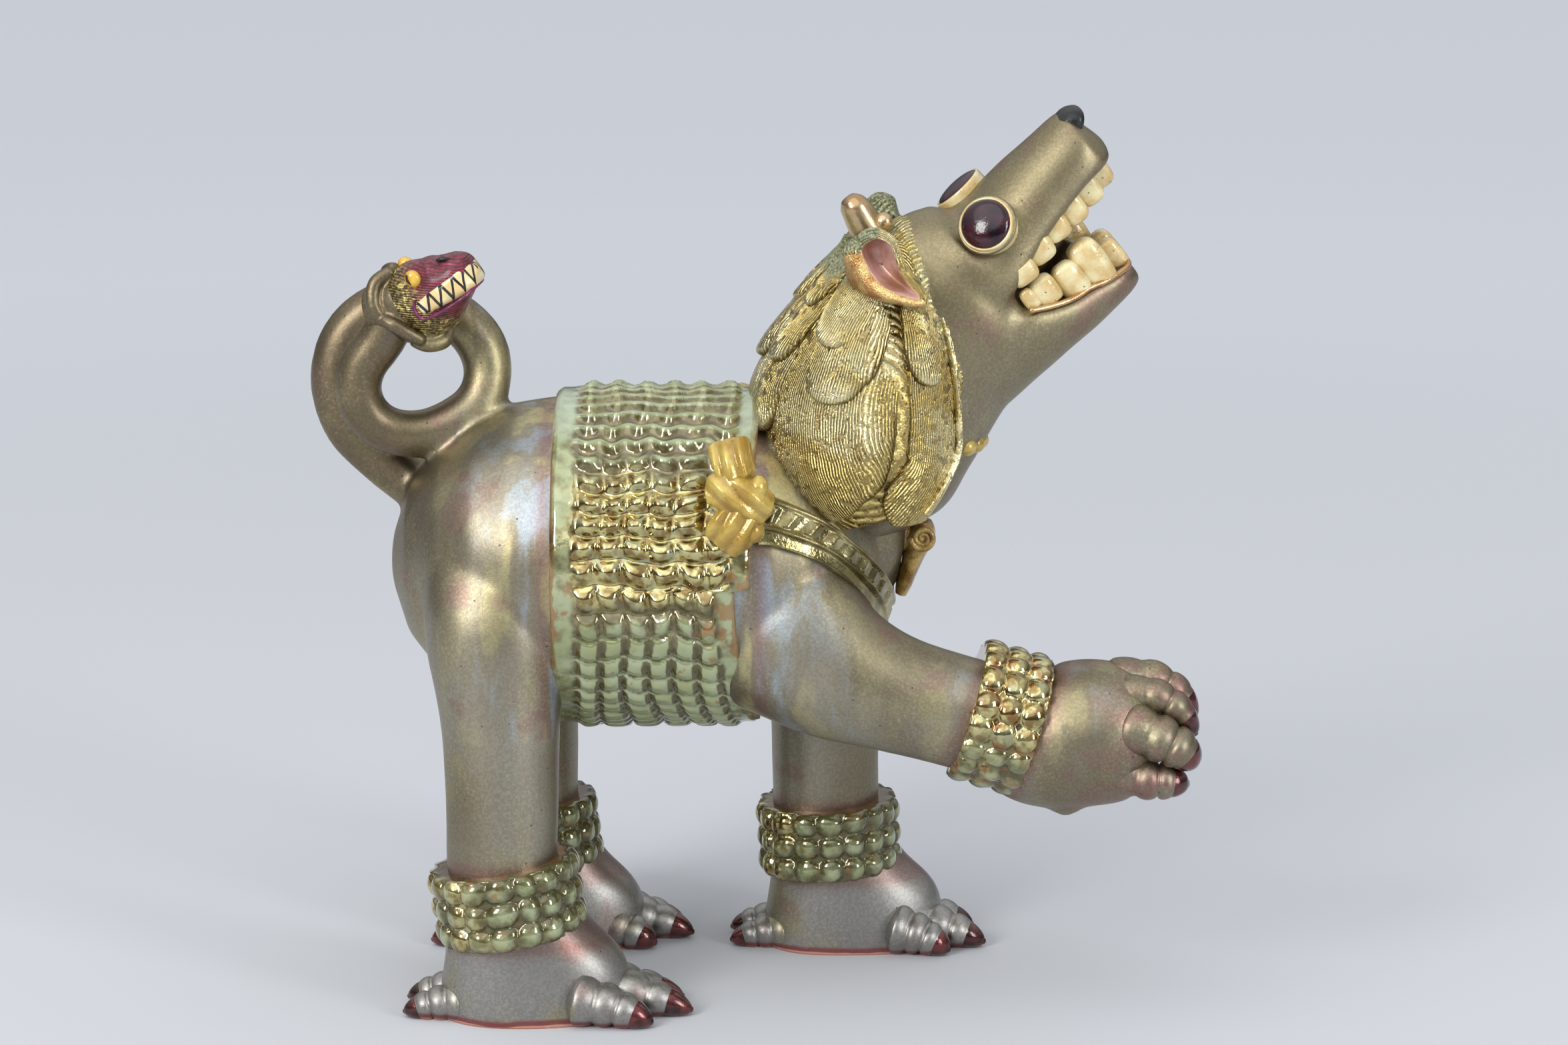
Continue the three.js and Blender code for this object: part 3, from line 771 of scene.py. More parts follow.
# %% [markdown]
# ## Toes, fingers and nails
# The potter rolled each toe and finger and ringed it with deep creases, then pressed a pointed
# nail on its end. A digit is a roll whose radius swells between its creases. Its last part is
# glazed as the nail.

# %% Digits
CREASES = (0.0, 0.30, 0.54, 0.74)
NAIL_FROM = CREASES[-1]
DIGIT_RINGS = 44


def girth(t, cone):
    """Thickness of a digit at t along it, as a share of its radius."""
    taper = 1.04 - cone * t
    for start, end in zip(CREASES, CREASES[1:]):
        if start <= t < end:
            local = (t - start) / (end - start)
            return taper * (0.77 + 0.25 * math.sin(math.pi * min(1, 0.08 + 0.92 * local)) ** 0.55)
    local = (t - NAIL_FROM) / (1 - NAIL_FROM)
    return taper * 0.90 * max(0.12, 1 - local**1.6) ** 0.62


def add_digit(form, path, radius, grounded=True, cone=0.36):
    rows = []
    for i, (x, y, z) in enumerate(even_rows(path, DIGIT_RINGS)):
        r = radius * girth(i / (DIGIT_RINGS - 1), cone)
        z = max(z, r * 0.3) if grounded else z
        rows.append((x, y, z, r, r, r * 0.85))
    high = form.verts.layers.float["high"]
    along = form.verts.layers.float["along"]
    made = roll(form, rows, 24, bulge=(0.7, 0.35))
    longest = max(v[along] for v in made)
    for v in made:
        v[high] = v[along] / longest


def add_toe(form, start, end, radius):
    arch = [a + (b - a) * 0.5 for a, b in zip(start, end)]
    add_digit(form, [start, (arch[0], arch[1], arch[2] + 1.5), end], radius, cone=0.62)


def add_toes(form, x, side, reach, spread):
    y = side * STANCE
    x += 2
    front, tip = x + 37, x + reach
    near, middle, far = [y + offset for offset in spread]
    add_toe(form, (front, near + 8, 12), (tip - 18, near - 1, 3), 15.5)
    add_toe(form, (front + 8, middle + 7, 13), (tip + 2, middle, 3), 15)
    add_toe(form, (front + 2, far + 2, 12), (tip - 3, far, 3), 14)
    add_toe(form, (x - 24, y - 11, 9), (x - 54, y - 12, 3), 12.5)
    add_toe(form, (x - 24, y + 11, 9), (x - 54, y + 12, 3), 12.5)


def nail_faces(form):
    """Gives the faces past the last crease the second glaze."""
    high = form.verts.layers.float["high"]
    for face in form.faces:
        if sum(v[high] for v in face.verts) / len(face.verts) > NAIL_FROM:
            face.material_index = 1


# %% Toes and fingers
form = clay()
for x, side, _, _, reach, spread in LEGS:
    add_toes(form, x, side, reach, spread)
stand(form)
nail_faces(form)
show("toes", form, [lustre, nail])

form = clay()
y = RAISED_Y
FINGERS = [
    ([(189, y - 10, 171.5), (203, y - 13, 172.5), (216, y - 14, 165.5), (226, y - 13, 152)], 10.8),
    ([(184, y + 3, 176), (202, y + 3, 177.5), (217, y + 3, 170), (227, y + 3, 156)], 11.5),
    ([(186, y + 20, 173), (203, y + 19, 174), (217, y + 18, 167), (225, y + 17, 154)], 11),
    ([(190, y - 19, 157), (204, y - 24, 153), (216, y - 25, 147), (225, y - 22, 138)], 14.8),
    ([(186, y - 16, 133), (199, y - 21, 130.5), (211, y - 22, 129.5), (222, y - 20, 128)], 12.8),
]
for path, radius in FINGERS:
    add_digit(form, path, radius, grounded=False)
nail_faces(form)
show("fingers", form, [lustre, nail])

# %% [markdown]
# ## Head
# The head is thrown back and leans to its right. It is easiest to model level, along the bridge
# of its snout, and to tip it afterwards: a is the place along the bridge, b across it and c
# above it. Neck, snout and lower jaw are rolls that are fused, and the tilt fades out down the
# neck.

# %% Tipping the head
HEAD = Vector((121, 0, 430.3))
PITCH, LEAN, AXIS = math.radians(43), math.radians(15), -46


def tip_head(point):
    a, b, c = point
    t = max(0, min(1, (a + 125) / 65))
    twist = LEAN * t * t * (3 - 2 * t)
    lift = c - AXIS
    across = b * math.cos(twist) - lift * math.sin(twist)
    above = AXIS + b * math.sin(twist) + lift * math.cos(twist)
    return HEAD + Vector(
        (
            a * math.cos(PITCH) - above * math.sin(PITCH),
            across,
            a * math.sin(PITCH) + above * math.cos(PITCH),
        )
    )


def side_rows(rows, split):
    """Rows given as a, top, bottom and half width, as seen from the side."""
    result = []
    for a, top, bottom, width in rows:
        waist = bottom + (top - bottom) * split
        result.append((a, 0, waist, width, top - waist, waist - bottom))
    return result


# %% Snout, jaw and neck
NECK = [
    (-186, -44, -98, 46), (-148, -16, -113, 54), (-124, -11, -108.5, 51.5), (-106, -5, -102.5, 49),
    (-86, 5, -97.5, 46.5), (-64, 15, -94.5, 45), (-50, 17, -92.5, 43.5), (-40, 13, -88, 40),
    (-31, 4, -80, 35),
]
SNOUT = [
    (-50, 14, -46, 40), (-38, 11.5, -45, 40.5), (-28, 4, -43, 39.5), (-12, 0.5, -37.5, 35),
    (2, 1.2, -35, 31), (18, 1.6, -33, 27.5), (32, 1.8, -31.5, 25), (42, 1.6, -31.5, 22.5),
    (49, 0, -32, 19), (53, -5, -30.5, 13),
]
JAW = [
    (-100, -60, -92, 30), (-72, -50, -94.5, 40), (-46, -50, -95, 41), (-30, -51.5, -95.5, 39),
    (-20, -59.5, -96, 35.5), (-10, -66, -96.5, 31.5), (0, -70, -97, 27), (8, -74.5, -97, 24),
    (16, -78, -96.5, 20), (22, -80.5, -95, 14),
]
FACE_EDGE = [(-60, -82), (-50, -76), (-30, -69), (-12, -63), (0, -55), (10, -50), (17, -43), (24, -39)]


def lip(rows, column, a):
    """A lip's height or half width at a, between the rows."""
    for first, second in zip(rows, rows[1:]):
        if first[0] <= a <= second[0]:
            share = (a - first[0]) / (second[0] - first[0])
            return first[column] + (second[column] - first[column]) * share
    return rows[0][column] if a < rows[0][0] else rows[-1][column]


def in_mouth(point):
    a, b, c = point
    roof, floor = lip(SNOUT, 2, a), lip(JAW, 1, a)
    width = min(lip(SNOUT, 3, a), lip(JAW, 3, a) if a < 22 else 99)
    wall = 4 + 6 * inside(-a, 16, 27)
    return -44 < a < 47 and floor - 1.5 < c < roof + 1.5 and abs(b) < width - wall


def behind_face(point):
    """Millimetres behind the line where the skin of the face meets the hair."""
    a, _, c = point
    if c < -60:
        return 0
    for (c0, a0), (c1, a1) in zip(FACE_EDGE, FACE_EDGE[1:]):
        if c <= c1:
            return a0 + (a1 - a0) * (c - c0) / (c1 - c0) - a
    return FACE_EDGE[-1][1] - a


form = clay()
roll(form, side_rows(NECK, 0.5), 56, 44, bulge=(0, 0.12))
roll(form, side_rows(SNOUT, 0.2), 56, 50, square=(2.1, 3.2), bulge=(0, 0.12))
roll(form, side_rows(JAW, 0.8), 56, 50, square=(3.2, 2.2), bulge=(0, 0.3), heading=(1, 0, 0))
for side in (RIGHT, LEFT):
    cheek = [(-62, side * 30, -52, 9), (-46, side * 31, -52, 9.5), (-35, side * 31, -53, 7.5)]
    roll(form, cheek, 24, 14)
form = fuse(form, 1.5, 12)
green = form.verts.layers.float["green"]
across = form.verts.layers.float["across"]
for v in form.verts:
    a, b, c = v.co
    hollow = 1 - ((a + 22) / 24) ** 2 * 0.2 - (b / 29) ** 2 - ((c + 50) / 13) ** 2
    if hollow > 0 and -34 < a < 0:
        v.co.x -= 26 * math.sqrt(hollow)
    v[green] = 0.5 if behind_face(v.co) > 0 else 0
    v[across] = b * 0.8 + c * 0.3
form.normal_update()
hair = [(v, v.normal * 1.3 * max(0, min(1, behind_face(v.co) / 3))) for v in form.verts]
for v, move in hair:
    v.co += move
knead(form, 0.5, 22)
for face in form.faces:
    middle = face.calc_center_median()
    face.material_index = 1 if in_mouth(middle) else 2 if behind_face(middle) > 0 else 0
for v in form.verts:
    v.co = tip_head(v.co)
show("head_skin", form, [lustre, maroon, gold])


# %% [markdown]
# ## Eyes
# Each eye is a button of clay: a cream ring pressed on the brow, with a glossy dark dome in it.
# The near one has a ridge of skin round it. Round forms like these are turned, as on a lathe: a profile is
# spun about its axis.


# %% Turning a profile
def turned(form, profile, place, steps=48, closed=False):
    """Spins a profile of (radius, height) about Z and puts it where place says."""
    before = set(form.verts)
    high = form.verts.layers.float["high"]
    points = [form.verts.new((r, 0, h)) for r, h in profile]
    for i, point in enumerate(points):
        point[high] = i / (len(points) - 1)
    pairs = list(zip(points, points[1:])) + ([(points[-1], points[0])] if closed else [])
    edges = [form.edges.new(pair) for pair in pairs]
    bmesh.ops.spin(
        form,
        geom=points + edges,
        cent=(0, 0, 0),
        axis=(0, 0, 1),
        angle=2 * math.pi,
        steps=steps,
        use_merge=True,
    )
    bmesh.ops.remove_doubles(form, verts=[v for v in form.verts if v not in before], dist=1e-4)
    made = [v for v in form.verts if v not in before]
    for v in made:
        v.co = place(v.co)
    return made


EYE_RIM = [
    (14.2, -10), (14.2, -1), (14.0, 0.4), (13.6, 1.1), (13.1, 1.2), (12.7, 0.7), (12.4, -1),
    (12.2, -4),
]
EYES = {RIGHT: ((-16.4, -31, -3.8), 43), LEFT: ((-16.5, 22.2, -0.1), 78)}


def eye_place(side):
    centre, tilt = EYES[side]
    tilt = math.radians(tilt)
    normal = Vector((0, side * math.cos(tilt), math.sin(tilt)))
    turn = normal.to_track_quat("Z", "X").to_matrix()
    return lambda point: tip_head(Vector(centre) + turn @ point)


def arc(radius, rise, degrees, steps, base=0.0):
    """Profile points of a dome from its foot to its crown."""
    top = math.radians(degrees)
    scale = radius / math.sin(top)
    result = []
    for i in range(steps + 1):
        angle = top * (1 - i / steps)
        height = rise * (math.cos(angle) - math.cos(top)) / (1 - math.cos(top))
        result.append((scale * math.sin(angle), base + height))
    return result


domes, rings, ridges = clay(), clay(), clay()
for side in (RIGHT, LEFT):
    place = eye_place(side)
    turned(domes, [(12.6, -4)] + arc(12.8, 4.4 if side == RIGHT else 2.6, 80, 12, 0.9), place)
    turned(rings, EYE_RIM, place)
    if side == RIGHT:
        corners = [k * math.pi / 6 for k in range(12)]
        bead = [(14.4 + 1.1 * math.cos(turn), -2.0 + 1.1 * math.sin(turn)) for turn in corners]
        turned(ridges, bead, place, closed=True)
show("eye_domes", domes, [iris])
show("eye_rings", rings, [cream])
show("eye_ridges", ridges, [lustre])

# %% [markdown]
# ## Nose, teeth and gums
# The nose is a small glossy cap. The teeth are rounded blocks that stand a little apart and
# lean, with a larger tooth at each corner of the lower row, and a copper-coloured gum line under it.


# %% Nose
form = clay()
cap = [(39.5, 0.6, -2, 4.5), (45, 1.6, -9, 8.8), (49.5, 1.2, -13, 10.2)]
cap += [(51.8, -0.8, -15.5, 10.0), (52.8, -3.8, -15, 8.6)]
roll(form, side_rows(cap, 0.5), 32, 30, square=(2.6, 2.4), bulge=(0.2, 0.06), place=tip_head)
show("nose", form, [jet])

# %% Teeth
# a, half width of the row, height of the gum, width, length
UPPER_TEETH = [
    (-19.5, 32, -36, 14, 6.5), (-5.5, 26, -33.5, 13.8, 9.5), (8, 22, -33, 13, 8.6),
    (20.5, 18.5, -32, 12.5, 11.0), (33, 13.5, -31.5, 12.6, 11.6), (42.5, 5.6, -32, 11.6, 11.2),
]
LOWER_TEETH = [
    (-26.5, 33, -51, 7, 7.5), (-18.5, 29, -56, 13.5, 11.0), (-5.5, 23.5, -66, 14, 15.5),
    (7, 17.5, -72, 17, 21.5), (18, 7, -79, 12, 15),
]
SWELL = [(0.0, 0.94), (0.25, 1.0), (0.5, 1.0), (0.72, 0.97), (0.88, 0.84), (0.96, 0.62), (1.0, 0.42)]


def add_tooth(form, a, b, c, width, length, way):
    lean = rng.uniform(-0.06, 0.06) + 0.14
    rows = []
    for t, swell in SWELL:
        down = -4 + t * (length + 4)
        wide, deep = width * 0.56 * swell, width * 0.40 * swell
        rows.append((a - way * lean * down, b, c - way * down, wide, deep))
    roll(form, rows, 24, 16, square=(3.2, 2.9), side=(1, 0, 0), bulge=(0, 0.3), place=tip_head)


form = clay()
for side in (RIGHT, LEFT):
    for a, b, c, width, length in UPPER_TEETH:
        add_tooth(form, a, side * b, c, width, length, 1)
    for a, b, c, width, length in LOWER_TEETH:
        add_tooth(form, a, side * b, c, width, length, -1)
show("teeth", form, [cream])

form = clay()
for side in (RIGHT, LEFT):
    rows = [(a, side * (w - 0.8), top - 0.8, 1.5) for a, top, _, w in JAW[3:]]
    rows += [(22.5, 0, -79.6, 1.5)]
    roll(form, rows, 14, 40, place=tip_head)
show("gums", form, [copper])

form = clay()
rows = [(-34, 0, -70, 14, 8), (-15, 0, -64, 13, 8), (0, 0, -60, 11, 7.5), (8, 0, -57, 8, 6)]
roll(form, rows, 32, 24, place=tip_head)
show("tongue", form, [lustre])

# %% [markdown]
# ## Mane
# The mane starts as a full collar round the neck. Over it lie tiers of big rounded locks, each
# with a thin root tucked under the tier above and a thick round end. A lock is laid out flat,
# in millimetres round the collar and up it, and wrapped on it afterwards, so that it follows
# the curve.

# %% The collar under the locks
# half width, z, back x, front x, sideways shift
MANE = [
    (26, 400, 48, 78, -8), (48, 388, 42, 87, -7), (61, 368, 28, 96, -4), (69, 348, 14, 103, -2),
    (72, 325, 4, 108, 0), (72, 300, 3, 109, 0), (69, 278, 9, 106, 0), (61, 259, 26, 98, 0),
]
MANE_FINE = even_rows(MANE, 60)
MANE_DROP = [-row[1] for row in MANE_FINE]
WRAP = 65 * math.pi / 180  # millimetres round the collar for one degree


def mane_spot(degrees, z):
    """Point of the collar at degrees from the front, positive to the left, and height z."""
    z = max(MANE_FINE[-1][1], min(MANE_FINE[0][1], z))
    k = max(1, bisect.bisect_left(MANE_DROP, -z))
    first, second = MANE_FINE[k - 1], MANE_FINE[k]
    share = (first[1] - z) / (first[1] - second[1])
    width, _, back, front, y = [a + (b - a) * share for a, b in zip(first, second)]
    c, s = math.cos(math.radians(degrees)), math.sin(math.radians(degrees))
    power = 2.7 if c >= 0 else 2.2
    x = (back + front) / 2 + (front - back) / 2 * bent(c, power)
    return Vector((x, y + width * bent(s, power), z))


def mane_normal(degrees, z):
    around = mane_spot(degrees + 2, z) - mane_spot(degrees - 2, z)
    upward = mane_spot(degrees, z + 2) - mane_spot(degrees, z - 2)
    return around.cross(upward).normalized()


def greenness(point):
    """The gold gives way to green on the nape and a little down the back."""
    x, _, z = point
    back = min(0.55, (16 - x) / 30)
    nape = (z - 372) / 20 * (1 if x < 66 else 0)
    return max(0, min(1, max(back, nape)))


def add_lock(form, points, half_width, thickness):
    """A lock along points of (degrees, z) from root to tip, with a thick rounded end."""
    path = even_rows([(degrees * WRAP, z) for degrees, z in points], 121)
    last = 36
    made = sphere(form, 28 + 2 * int(half_width), last)
    marks = form.verts.layers.float
    across, green, groove_shade, painted_highlight = marks["across"], marks["green"], marks["hem"], marks["gild"]
    for v in made:
        ring = round(math.acos(max(-1, min(1, v.co.z))) / math.pi * last)
        t = 1 - (1 - ring / last) ** 1.7
        k = max(1, min(119, round(t * 120)))
        run = Vector((path[k + 1][0] - path[k - 1][0], path[k + 1][1] - path[k - 1][1])).normalized()
        u, z = path[round(t * 120)]
        angle = math.atan2(v.co.y, v.co.x)
        c, s = (math.cos(angle), math.sin(angle)) if 0 < ring < last else (0, 0)
        closing = math.sqrt(max(0, 1 - (max(0, t - 0.62) / 0.38) ** 2))
        offset = half_width * min(1, t / 0.35) ** 0.6 * closing * c
        edge = max(0, 1 - c**4) ** 0.36
        lift = thickness * (0.1 + 0.9 * t * t) * closing**0.3
        height = lift * edge * (0.78 + 0.22 * (1 - c * c)) if s >= 0 else -3 * edge
        u, z = u - run.y * offset, z + run.x * offset
        degrees = u / WRAP
        v.co = mane_spot(degrees, z) + mane_normal(degrees, z) * (height if 0 < ring < last else -1)
        v[across] = offset + 0.3 * u
        v[green] = greenness(v.co)
        rim = 1 - edge * closing**0.3
        # painted shade on the lock's side wall, from a third of its length on, where it stands over the
        # lock below
        v[groove_shade] = inside(rim, 0.25, 0.6) * inside(t, 0.3, 0.6)
        # painted highlight on the top of the thick end, on all but the widest locks
        end = inside(t, 0.80, 0.93) * (1 - inside(rim, 0.2, 0.4))
        v[painted_highlight] = end * (1 - inside(half_width, 23, 24))


# %% Locks in tiers
# points of (degrees, z) from root to tip, half width, thickness
SIDE_LOCKS = [
    # the lowest tier: a rim round the face, the great cheek lock and the back
    ([(54, 388), (51, 350), (50, 308), (57, 280), (84, 262)], 24, 4.5),
    ([(104, 366), (112, 335), (113, 300), (102, 266)], 41, 8.5),
    ([(156, 330), (160, 312), (160, 290), (154, 268)], 20, 6),
    # the middle tiers
    ([(150, 362), (152, 348), (154, 328), (152, 303)], 19, 9),
    ([(98, 380), (101, 366), (105, 348), (107, 322)], 23, 8.5),
    ([(64, 386), (61, 370), (59, 352), (57, 330.5)], 16.5, 8.0),
    # the upper tier
    ([(142, 384), (147, 372), (150, 358), (152, 338)], 16, 10),
    ([(98, 394), (103, 385), (111, 371), (119, 351)], 23, 9.0),
    ([(132, 399), (142, 390), (148, 380), (152, 366)], 13, 9),
]
BACK_LOCKS = [
    ([(180, 330), (180, 310), (180, 290), (180, 270)], 22, 7),
    ([(180, 362), (179, 345), (181, 325), (180, 300)], 16, 9),
    ([(180, 392), (180, 376), (180, 356), (180, 335)], 16, 10),
    ([(180, 402), (180, 392), (180, 380), (180, 364)], 13, 9),
]
form = clay()
collar_rows = []
for width, z, back, front, y in even_rows(MANE, 50):
    collar_rows.append(((back + front) / 2, y, z, width, (front - back) / 2))
for v in roll(form, collar_rows, 72, square=(2.7, 2.2), bulge=(0.15, 0.2)):
    v[form.verts.layers.float["green"]] = greenness(v.co)
for side in (RIGHT, LEFT):
    for points, half_width, thickness in SIDE_LOCKS:
        add_lock(form, [(side * degrees, z) for degrees, z in points], half_width, thickness)
for points, half_width, thickness in BACK_LOCKS:
    add_lock(form, points, half_width, thickness)
for side in (RIGHT, LEFT):
    cord = []
    for z in (392, 375, 355, 335, 312, 292, 275, 264):
        degrees = side * (33 if z > 290 else 33 + (290 - z) * 0.9)
        cord.append((*(mane_spot(degrees, z) + mane_normal(degrees, z) * 2.6), 2.0))
    # each cord takes part of the painted highlight: paler, flatter gold
    for v in roll(form, cord, 14, 60):
        v[form.verts.layers.float["gild"]] = 0.6
show("mane", form, [gold])

# %% [markdown]
# ## Ears, horn and the small ball
# The ears are cups with a thick rolled rim, open to the sides and drawn out to a point at the
# bottom. A cup is turned from one profile that runs from its back round the rim and down into
# the bowl, then pulled into shape.


# %% Ears
EAR_PROFILE = [
    (0, -8), (20, -9), (28, -8), (26, -2), (23.2, 4), (22, 8), (21, 11), (19.4, 12.6),
    (17.8, 12.2), (16.6, 10), (14.5, 5), (10.5, 0), (5, -3), (0, -4),
]
BOWL_FROM, RIM_FROM = 0.66, 0.36
BOWL = 17  # radius of the profile at the bowl's edge


def ear_place(side, along, rise, out, size):
    """Bends the turned cup: broad above, pointed below, and thick behind."""

    def place(point):
        x, y, z = point
        r = math.hypot(x, y)
        ahead, up = (x / r, y / r) if r else (0, 0)
        behind = (12 - z) * max(0, min(1, (r - BOWL) / 5))
        if up > 0:
            ahead, up = bent(ahead, 3), bent(up, 3)
        most = BOWL + 6 - 2.5 * max(0, up) - 0.4 * max(0, 6 - z)
        r = min(r, most + max(0, r - BOWL - 6) * (0.9 if up < 0 else 0.2))
        inner = max(0, min(1, (BOWL + 3 - r) / 3))
        c = r * up * 1.03 - max(0, up) * (behind * 0.62 + 2.4 * inner)
        low = max(0, min(1, (8 - c) / 25))
        half = 7.6 * (1 - 0.62 * low)
        if r <= BOWL:
            shift = ahead * r / BOWL * half
        else:
            shift = ahead * (half + (r - BOWL) * (2.2 if ahead < 0 else 0.9))
        a = along + (shift - 3.6 * math.sin(math.pi * low)) * size
        b = out - 0.6 * c * size + (z - 12) * size
        return tip_head((a, side * b, rise + c * size))

    return place


form = clay()
marks = form.verts.layers.float
high, green, rear, across_mark = marks["high"], marks["green"], marks["hem"], marks["across"]
for side, along, rise, out, size in ((RIGHT, -64.5, 22, 55, 1.0), (LEFT, -54.5, 7, 46, 0.86)):
    place = ear_place(side, along, rise, out, size)
    for v in turned(form, even_rows(EAR_PROFILE, 44), lambda point: point, 64):
        x, y, z = v.co
        v[green] = max(0, min(1, (y - 10) / 9)) if side == RIGHT else 0.9
        # the back of each cup: amber on the rim there, and painted shade on the gold outside
        v[rear] = 1 if x < 6 and y < 14 else 0
        v[across_mark] = v[high] * 60
        v.co = place(v.co)
for face in form.faces:
    t = sum(v[high] for v in face.verts) / len(face.verts)
    behind = min(v[rear] for v in face.verts) > 0
    face.material_index = 1 if t > BOWL_FROM else 2 if t > RIM_FROM and behind else 0
show("ears", form, [gold, blush, amber])

form = clay()
rows = [(-66.5, 0, 8, 10), (-64.5, 0, 20, 9.6), (-62.5, 0, 29, 9), (-60.8, 0, 36, 8.2)]
rows += [(-60, 0, 41.5, 7.0), (-59.6, 0, 45, 4.4)]
roll(form, rows, 28, 30, bulge=(0, 0.35), place=tip_head)
ball(form, (-54.6, -3, 24), (4.9, 4.9, 4.9), place=tip_head)
show("horn", form, [bronze])

# %% [markdown]
# ## Studded jacket
# The jacket goes right round the body. Its studs are pinched into short ridges that wave along
# each row, and they turn softer towards the belly. It starts as a flat grid, which is rolled
# into a drum while its relief is raised. The grid's two ends turn inwards as the hems' walls.

# %% Wrapping a grid round a form
def wrapped(form, around, along, surface):
    """Lays a grid round a form. surface(u, v) gives a point and its marks, u round and v along."""
    before = set(form.verts)
    made = bmesh.ops.create_grid(form, x_segments=around, y_segments=along, size=1)["verts"]
    for v in made:
        v.co, marks = surface((v.co.x + 1) / 2, (v.co.y + 1) / 2)
        for name, value in marks.items():
            v[form.verts.layers.float[name]] = value
    bmesh.ops.remove_doubles(form, verts=made, dist=1e-3)
    return [v for v in form.verts if v not in before]


# %% Jacket
JACKET_ROWS, JACKET_COLUMNS = 50, 6
JACKET_RADIUS, JACKET_Z = 86.8, 230.5
REAR, FRONT = -102, 4
REAR_HEM, FRONT_HEM = 11, 9
STUD = 5.0
WALL = 0.03  # share of the grid that turns in at each end
PER_STUD = 10


def jacket_edge(angle):
    side = math.cos(angle) ** 2
    return FRONT - 13 * side * (1 if math.sin(angle) < 0 else 0.4)


def stud_relief(row, column, top, low):
    """Height of the studs, 0 to 1, and how pale each point is. A stud spans one unit each way."""
    p = abs(row % 1 - 0.5) * 2
    q = abs(column % 1 - 0.5) * 2
    wave = (1 - p) ** 1.15 * (0.74 + 0.26 * math.cos(math.pi * q))
    gem = (1 - p**1.9) * (1 - 0.85 * q**2.4)
    pillow = math.sqrt(max(0, (1 - p**2.4) * (1 - q**3))) * 0.8
    height = wave * top + pillow * low + gem * (1 - top - low)
    line = 0.1 + 0.9 * inside(1 - p, 0.56, 0.82)
    notch = inside(q, 0.52, 0.7) * inside(1 - p, 0.12, 0.4)
    patch = 0.9 * (1 - notch) * (1 - 0.7 * inside(p, 0.82, 0.96))
    return height, line * top + patch * low + 0.5 * gem * (1 - top - low)


def jacket_surface(u, v):
    angle = 2 * math.pi * u
    lie = (v - WALL) / (1 - 2 * WALL)
    front = jacket_edge(angle)
    length = front - REAR
    turn_in = max(-lie, lie - 1, 0) / WALL
    at = max(0, min(1, lie)) * length
    wobble = noise.noise(Vector((math.cos(angle) * 2.2, math.sin(angle) * 2.2, at / 40)))
    field = (at - REAR_HEM) / (length - REAR_HEM - FRONT_HEM)
    column = field * JACKET_COLUMNS + 0.35 * wobble
    # the rows lie closer at the back and the belly than at the flanks
    row = JACKET_ROWS / 2 / math.pi * (angle - 0.09 * math.sin(2 * angle))
    lap = Vector((at / 20, 1.6 * math.cos(angle) + 4, 1.6 * math.sin(angle)))
    row += 0.5 * noise.noise(lap)
    fade = inside(field, -0.03, 0.05) * inside(1 - field, -0.03, 0.05)
    top = inside(math.sin(angle), 0.62, 0.82)
    low = inside(-math.sin(angle), 0.12, 0.36)
    row += (0.14 * top + 0.05) * math.cos(2 * math.pi * column)
    height, pale = stud_relief(row, column, top, low)
    size = 0.9 + 0.35 * noise.noise(Vector((math.floor(row) * 1.7, math.floor(column) * 1.3, 0.5)))
    radius = JACKET_RADIUS + height * fade * STUD * min(1.0, size + 0.1) - 9 * turn_in + 0.5 * wobble
    edge = inside(max(0.03 - lie, lie - 0.97, 0), 0, 0.03)
    radius += 1.3 * (1 - fade) * (1 - turn_in) - 1.6 * edge
    place = Vector((REAR + at, radius * math.cos(angle), JACKET_Z + radius * math.sin(angle)))
    gild = math.exp(-(((place.z - 254) / 36) ** 4)) * (0.5 + 0.5 * fade)
    rust = edge + 0.5 * math.exp(-(((place.z - 205) / 14) ** 2)) * inside(field, 0.8, 1)
    rust += 0.5 * math.exp(-(((place.z - 228) / 18) ** 2)) * (1 - fade)
    return place, {"high": pale * fade + 0.6 * (1 - fade), "gild": gild, "hem": 1 - fade, "rose": rust}


form = clay()
wrapped(form, JACKET_ROWS * PER_STUD, JACKET_COLUMNS * 14 + 16, jacket_surface)
show("studded_jacket", form, [celadon])

# %% [markdown]
# ## Beaded bands
# Three anklets and a bracelet of the same glaze, each three rows of fat beads. A band is a
# small jacket: the same grid, with domes for studs, laid round its limb and tilted with it.

# %% Bands
BAND_RADIUS, BAND_HEIGHT, BEADS, BEAD_ROWS = 35.6, 38, 17, 3
BEAD = 4.6
BAND_WALL = 0.08  # share of the grid that turns in at each end
BAND_TURN = 0.0952  # the same share, counted in band heights


def bead_relief(around, along):
    """Height of the beads, 0 to 1: blunt four-sided domes between seams."""
    p = abs(around % 1 - 0.5) * 2
    q = abs(along % 1 - 0.5) * 2
    far = (p**2.4 + q**2.4) ** (1 / 2.4)
    seam = max(0, 1 - abs(max(p, q) - 1) / 0.14) * 0.1
    facet = 1 - 0.5 * (p + q)
    return math.sqrt(max(0, 1 - min(1, far * 0.97) ** 2)) * 0.92 + facet * 0.08 + seam


